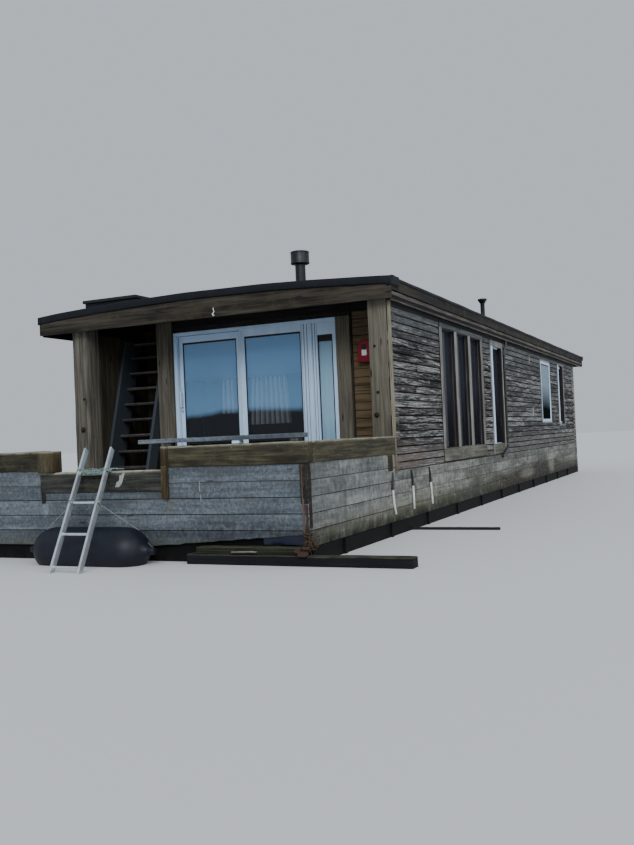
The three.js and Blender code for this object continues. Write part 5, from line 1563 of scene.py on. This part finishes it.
def lash_ladder(bearing, down, half, edge):
    """Blue-green rope round both rails and along the sleeper's edge, and two thin lines to the fender."""
    ropes = start_shape()
    first_rung, second_rung = 0.020, 0.445
    for side in (-half, half):
        for distance, turns in ((-0.006, 2), (second_rung, 3)):
            wound(ropes, bearing + down * distance + Vector((side, 0, 0)), down, 0.034, turns)
    for way in (1, -1):
        wound(ropes, bearing + down * first_rung, Vector((way, 0, 0)), 0.022, 7, 0.046)
    # Two strands run tight along the sleeper's top edge, from rail to rail and past each.
    for rise, inwards in ((0.012, -0.006), (0.024, 0.03)):
        path = []
        for i in range(15):
            x = edge.x - half - 0.03 + i / 14 * (2 * half + 0.06)
            path.append((x, edge.y - 0.012 + inwards + 0.010 * noise.noise(Vector((x * 9, rise * 90, 0))),
                         edge.z + rise + 0.008 * noise.noise(Vector((x * 11, 5, rise * 50)))))
        tube(ropes, path, 0.008, 8)
    for x, z, size in ((edge.x - half - 0.01, edge.z - 0.012, 0.020),
                       (edge.x + half - 0.05, edge.z + 0.012, 0.026),
                       (edge.x + half + 0.02, edge.z + 0.006, 0.020)):
        tube(ropes, arc((x, edge.y - 0.022, z), size, 0, 330, 12, (1, 0, 0.3), (0, -0.5, 0.9)), 0.009, 8)
    tail = Vector((edge.x + half + 0.02, edge.y - 0.03, edge.z + 0.01))
    tube(ropes, [tail + Vector(step) for step in (
        (0, 0, 0), (0.05, 0.03, 0.02), (0.11, 0.05, 0.012), (0.17, 0.06, 0.010))], 0.007, 8)
    # Frayed ends stick out of the knot at the second rung.
    knot = bearing + down * second_rung + Vector((half + 0.02, -0.01, 0.0))
    for spread, drop in ((0.03, 0.05), (0.045, 0.06), (0.01, 0.04)):
        tube(ropes, [knot, knot + Vector((spread, 0.01, -drop))], [0.006, 0.002], 6)
    finish_piece(ropes, "ladder_lashing", "rope", "aluminium", smooth=60)
    lines = start_shape()
    # Each is taut from the second rung's lashing, over the fender's shoulder, to the eye at its end.
    for path in (((0.42, -9.40, 1.262), (0.89, -9.21, 0.899), (0.955, -9.242, 0.862), (1.002, -9.289, 0.805),
                  (1.06, -9.32, 0.775), (1.105, -9.34, 0.758)),
                 ((0.09, -9.43, 1.262), (-0.373, -9.356, 0.935), (-0.434, -9.356, 0.872),
                  (-0.463, -9.356, 0.806), (-0.511, -9.356, 0.789), (-0.562, -9.356, 0.758))):
        tube(lines, path, 0.0026, 6)
    finish_piece(lines, "fender_lines", "pale_split", "fender_rubber", smooth=60)


def stand_ladder():
    """Two flat rails and five rungs that lean on the lowered sleeper, and their lashing."""
    edge = Vector((0.192, CAP_FRONT_Y, boxes["cap_ladder"][1].z))
    water = Vector((0.461, -10.028, WATERLINE))
    width, depth, half = 0.026, 0.074, 0.187
    rise = Vector((edge.z - water.z, edge.y - water.y))
    reach = depth / 2 + 0.0003
    lean = math.atan2(rise.y, rise.x) - math.asin(reach / rise.length)
    bearing = edge - Vector((0, reach / math.cos(lean), 0))
    down = (water - bearing).normalized()
    inward = Vector((1, 0, 0)).cross(down).normalized()
    turn = Matrix((down.cross(inward), inward, -down)).transposed().to_4x4()
    above, below = 0.340, 1.790
    rails, rungs = start_shape(), start_shape()
    middle = bearing + down * (below - above) / 2
    corner = Vector((width, depth, above + below)) / 2
    for side in (-half, half):
        place = Matrix.Translation(middle + Vector((side, 0, 0))) @ turn
        # A box section, its long edges rounded enough to catch the light.
        block(rails, -corner, corner, 0.006, 3, turn=place)
    for i in range(5):
        at = bearing + down * (0.020 + i * 0.425)
        left, right = at - Vector((half, 0, 0)), at + Vector((half, 0, 0))
        tube(rungs, [left, right], 0.015, 14)
        for end, inwards in ((left, 1), (right, -1)):
            tube(rungs, [end + Vector((inwards * 0.012, 0, 0)), end + Vector((inwards * 0.028, 0, 0))],
                 [0.022, 0.018], 14)
    finish_piece(rails, "ladder_rails", "aluminium", "aluminium", ["ladder"], smooth=40)
    finish_piece(rungs, "ladder_rungs", "aluminium", "aluminium", ["ladder"], smooth=40)
    lash_ladder(bearing, down, half, edge)


def hang_fender():
    """An inflated fender, round-shouldered, with a rope eye and collar at each end."""
    low, high = boxes["fender"]
    middle = (low + high) / 2
    half, radius = (high.x - low.x) / 2, (high.z - low.z) / 2
    body = 0.47
    shoulder = [(radius * math.cos(math.radians(a)) ** 0.85, body + 0.275 * math.sin(math.radians(a)))
                for a in range(0, 80, 8)]
    collar = [(0.062, 0.765), (0.058, 0.785), (0.044, 0.79), (0.040, 0.84), (0.034, half - 0.006),
              (0.0, half)]
    end = shoulder + collar
    waist = [(radius, -0.25), (radius * 1.004, 0.0), (radius, 0.25)]
    profile = [(r, -h) for r, h in reversed(end)] + waist + end
    shape = start_shape()
    spun(shape, profile, middle, (1, 0, 0), 56)
    finish_piece(shape, "inflated_fender", "fender", "fender_rubber", ["fender"], smooth=60)
    shape = start_shape()
    for hand in (-1, 1):
        eye = middle + Vector((hand * (half - 0.03), 0, 0))
        loop = arc(eye, 0.032, 0, 360, 14, (0, 0, 1), (0, 1, 0))
        tube(shape, [p + Vector((hand * 0.004, 0, 0)) for p in loop], 0.008, 8)
    finish_piece(shape, "fender_eyes", "label", "fender_rubber", smooth=60)


def fit_box():
    """The red arch-topped box, with a blank plate and a dark latch."""
    low, high = boxes["wall_box"]
    shape = copied("wall_box", 0.014, 3, 20)
    finish_piece(shape, "red_box_shell", "red", "red_box", ["wall_box"], smooth=50)
    boarded([((2.191, low.y - 0.004, 3.010), (2.268, low.y + 0.002, 3.091))],
            "red_box_plate", "label", "red_box")
    x, back = (low.x + high.x) / 2, low.y + 0.002
    shape = start_shape()
    block(shape, (x - 0.045, low.y - 0.006, 3.115), (x + 0.030, back, 3.165), 0.010, 3)
    block(shape, (x - 0.015, low.y - 0.014, 3.092), (x + 0.010, back, 3.14), 0.005, 2)
    finish_piece(shape, "red_box_latch", "gasket", "black_metal", smooth=40)


def float_spars():
    """The bow's stand-off beam, the timber on it with its grab handle, and the side's pole."""
    low, high = boxes["bow_beam"]
    beam_top = WATERLINE + 0.107
    upper_x = (1.557, 2.800)
    boarded([(low, (high.x, high.y, beam_top))], "stand_off_beam", "beam", "fascia_board", 0.012, 3,
            [(0, low.x, high.x, 0.12)], (0.006, 3.0, 12.0, 0.012, beam_top), replaced=["bow_beam"], smooth=50)
    boarded([((upper_x[0], low.y + 0.020, beam_top - 0.004), (upper_x[1], high.y, high.z))],
            "stand_off_timber", "wet_timber", "fascia_board", 0.012, 3, [(0, *upper_x, 0.1)],
            (0.006, 3.0, 2.0, 0.012, high.z), replaced=["bow_beam"], smooth=50)
    shape = start_shape()
    x0, x1, z, y = 2.02, 2.30, high.z - 0.045, low.y + 0.020
    tube(shape, [(x0, y + 0.01, z), (x0, y - 0.03, z - 0.004), (x0 + 0.02, y - 0.045, z),
                 (x1 - 0.02, y - 0.045, z + 0.006), (x1, y - 0.03, z), (x1, y + 0.01, z)], 0.010, 10)
    finish_piece(shape, "beam_handle", "steel", "black_metal", smooth=60)
    low, high = boxes["side_pole"]
    shape = start_shape()
    count = 24
    path = [Vector((low.x + (high.x - low.x) * i / count, (low.y + high.y) / 2, (low.z + high.z) / 2))
            for i in range(count + 1)]
    radii = [0.036 - 0.004 * abs(noise.noise(Vector((i * 0.7, 0, 0)))) for i in range(count + 1)]
    tube(shape, path, radii, 14)
    finish_piece(shape, "stand_off_pole", "shade_X", "fascia_board", ["side_pole"], smooth=50)


class HOUSEBOAT_OT_fittings(Step):
    """Makes the flue, vent, downpipe, side pipes, ladder, fender, box, spars and lashings"""

    bl_idname = "houseboat.fittings"
    bl_label = "Make the fittings"

    def execute(self, context):
        self.begin(context)
        stand_pipes()
        hang_downpipe()
        hang_side_pipes()
        stand_ladder()
        hang_fender()
        fit_box()
        float_spars()
        return {"FINISHED"}


def hang_cloth(name, x0, x1, hem, top, y, fold):
    """A cloth gathered in folds that open towards its hem."""
    columns, rows = 90, 24
    shape = start_shape()
    grid = bmesh.ops.create_grid(shape, x_segments=columns, y_segments=rows, size=0.5)["verts"]
    mark(shape, grid)
    folds = (x1 - x0) / fold
    phase = draw.uniform(0, 6)
    uv = shape.loops.layers.uv.new("cloth")
    places = {vert: (vert.co.x + 0.5, 0.5 - vert.co.y) for vert in shape.verts}

    def folded(across, down):
        sway = 0.25 * math.sin(3.1 * down + phase)
        depth = 0.017 + 0.010 * down
        wave = math.sin(2 * math.pi * folds * across + phase + sway)
        ripple = 0.35 * math.sin(4 * math.pi * folds * across * 0.87 + 2 * phase)
        spread = 0.74 + 0.29 * down
        x = x0 + (x1 - x0) * (0.5 + (across - 0.5) * spread)
        return Vector((x, y + depth * (wave + ripple), top - (top - hem) * down))

    for face in shape.faces:
        for loop in face.loops:
            across, down = places[loop.vert]
            loop[uv].uv = (across * 1.6 * (x1 - x0), down * (top - hem))
    for vert, (across, down) in places.items():
        vert.co = folded(across, down)
    bmesh.ops.solidify(shape, geom=shape.faces[:], thickness=0.0012)
    piece = finish_piece(shape, f"curtain_{name}", "curtain", "curtain_cloth", ["curtains"], smooth=80)


class HOUSEBOAT_OT_curtains(Step):
    """Hangs the curtains behind the glazed doors"""

    bl_idname = "houseboat.curtains"
    bl_label = "Hang the curtains"

    def execute(self, context):
        sizes = self.begin(context)
        low, high = boxes["curtains"]
        rail_z = high.z - 0.015
        shape = start_shape()
        middle = (low.y + high.y) / 2 + 0.010
        tube(shape, [(low.x, middle, rail_z), (high.x, middle, rail_z)], 0.012)
        for x in (low.x + 0.05, 0.2, 1.2, high.x - 0.05):
            block(shape, (x - 0.012, low.y + 0.0005, rail_z - 0.012),
                  (x + 0.012, middle, rail_z + 0.012), 0.002)
        finish_piece(shape, "curtain_rail", "white", "curtain_cloth", ["curtains"], smooth=40)
        # name, x0, x1, hem
        for name, x0, x1, hem in (("port", -0.27, -0.01, 2.31), ("middle", 0.21, 0.89, 2.12),
                                  ("starboard", 1.40, 1.735, 1.60)):
            hang_cloth(name, x0, x1, hem, rail_z - 0.014, middle, sizes.curtain_fold)
        return {"FINISHED"}


def lay_floor(scene):
    shape = bmesh.new()
    bmesh.ops.create_grid(shape, x_segments=1, y_segments=1, size=150,
                          matrix=Matrix.Translation((0, 0, WATERLINE)))
    mesh = bpy.data.meshes.new("studio_floor")
    shape.to_mesh(mesh)
    shape.free()
    material, tree = start_material("pale_studio_floor")
    end_material(tree, {"Base Color": linear(scene.houseboat_colours.floor), "Roughness": 0.7}, {})
    mesh.materials.append(material)
    floor = bpy.data.objects.new("studio_floor", mesh)
    scene.collection.objects.link(floor)


def light_studio(scene):
    world = bpy.data.worlds.new("soft_studio")
    world.use_nodes = True
    background = world.node_tree.nodes["Background"]
    background.inputs[0].default_value = linear("#dfe8f2")
    background.inputs[1].default_value = 0.75
    scene.world = world
    # name, energy, angle, where the light comes from
    for name, energy, angle, source in (("soft_key", 1.7, 30, (0.30, -0.80, 0.52)),
                                        ("soft_fill", 0.7, 45, (0.85, -0.35, 0.45))):
        lamp = bpy.data.lights.new(name, "SUN")
        lamp.energy = energy
        lamp.angle = math.radians(angle)
        light = bpy.data.objects.new(name, lamp)
        light.rotation_euler = Vector(source).to_track_quat("Z", "Y").to_euler()
        scene.collection.objects.link(light)


def place_camera(scene):
    cos_yaw, sin_yaw = math.cos(CAMERA_YAW), math.sin(CAMERA_YAW)
    forward = Vector((-sin_yaw * math.cos(CAMERA_PITCH), cos_yaw * math.cos(CAMERA_PITCH),
                      math.sin(CAMERA_PITCH)))
    level = Vector((cos_yaw, sin_yaw, 0.0))
    down = forward.cross(level)
    right = math.cos(CAMERA_ROLL) * level + math.sin(CAMERA_ROLL) * down
    up = math.sin(CAMERA_ROLL) * level - math.cos(CAMERA_ROLL) * down
    lens = bpy.data.cameras.new("photograph_view")
    lens.lens = CAMERA_LENS
    lens.sensor_width = 36.0
    lens.sensor_fit = "AUTO"
    lens.clip_end = 600.0
    camera = bpy.data.objects.new("photograph_view", lens)
    turn = Matrix((right, up, -forward)).transposed().to_4x4()
    camera.matrix_world = Matrix.Translation(CAMERA_PLACE) @ turn
    scene.collection.objects.link(camera)
    scene.camera = camera


class HOUSEBOAT_OT_stage(Step):
    """Sets the floor at the waterline, the studio light and the photograph's camera"""

    bl_idname = "houseboat.stage"
    bl_label = "Set the stage"

    def execute(self, context):
        lay_floor(context.scene)
        light_studio(context.scene)
        place_camera(context.scene)
        return {"FINISHED"}


STEPS = (
    HOUSEBOAT_OT_finishes, HOUSEBOAT_OT_hull, HOUSEBOAT_OT_timbers, HOUSEBOAT_OT_walls, HOUSEBOAT_OT_roof,
    HOUSEBOAT_OT_doors, HOUSEBOAT_OT_windows, HOUSEBOAT_OT_deck, HOUSEBOAT_OT_fittings,
    HOUSEBOAT_OT_curtains, HOUSEBOAT_OT_stage,
)


class HOUSEBOAT_PT_panel(bpy.types.Panel):
    """Lists the steps, sizes and colours in the sidebar"""

    bl_label = "Houseboat"
    bl_space_type = "VIEW_3D"
    bl_region_type = "UI"
    bl_category = "Houseboat"

    def draw(self, context):
        for step in STEPS:
            self.layout.operator(step.bl_idname)
        for group in (context.scene.houseboat_sizes, context.scene.houseboat_colours):
            for name in group.__annotations__:
                self.layout.prop(group, name)


CLASSES = (HouseboatSizes, HouseboatColours, *STEPS, HOUSEBOAT_PT_panel)


def register():
    for cls in CLASSES:
        bpy.utils.register_class(cls)
    bpy.types.Scene.houseboat_sizes = PointerProperty(type=HouseboatSizes)
    bpy.types.Scene.houseboat_colours = PointerProperty(type=HouseboatColours)


def unregister():
    del bpy.types.Scene.houseboat_colours
    del bpy.types.Scene.houseboat_sizes
    for cls in reversed(CLASSES):
        bpy.utils.unregister_class(cls)


def main():
    register()
    for step in STEPS:
        group, name = step.bl_idname.split(".")
        getattr(getattr(bpy.ops, group), name)()


if __name__ == "__main__":
    main()
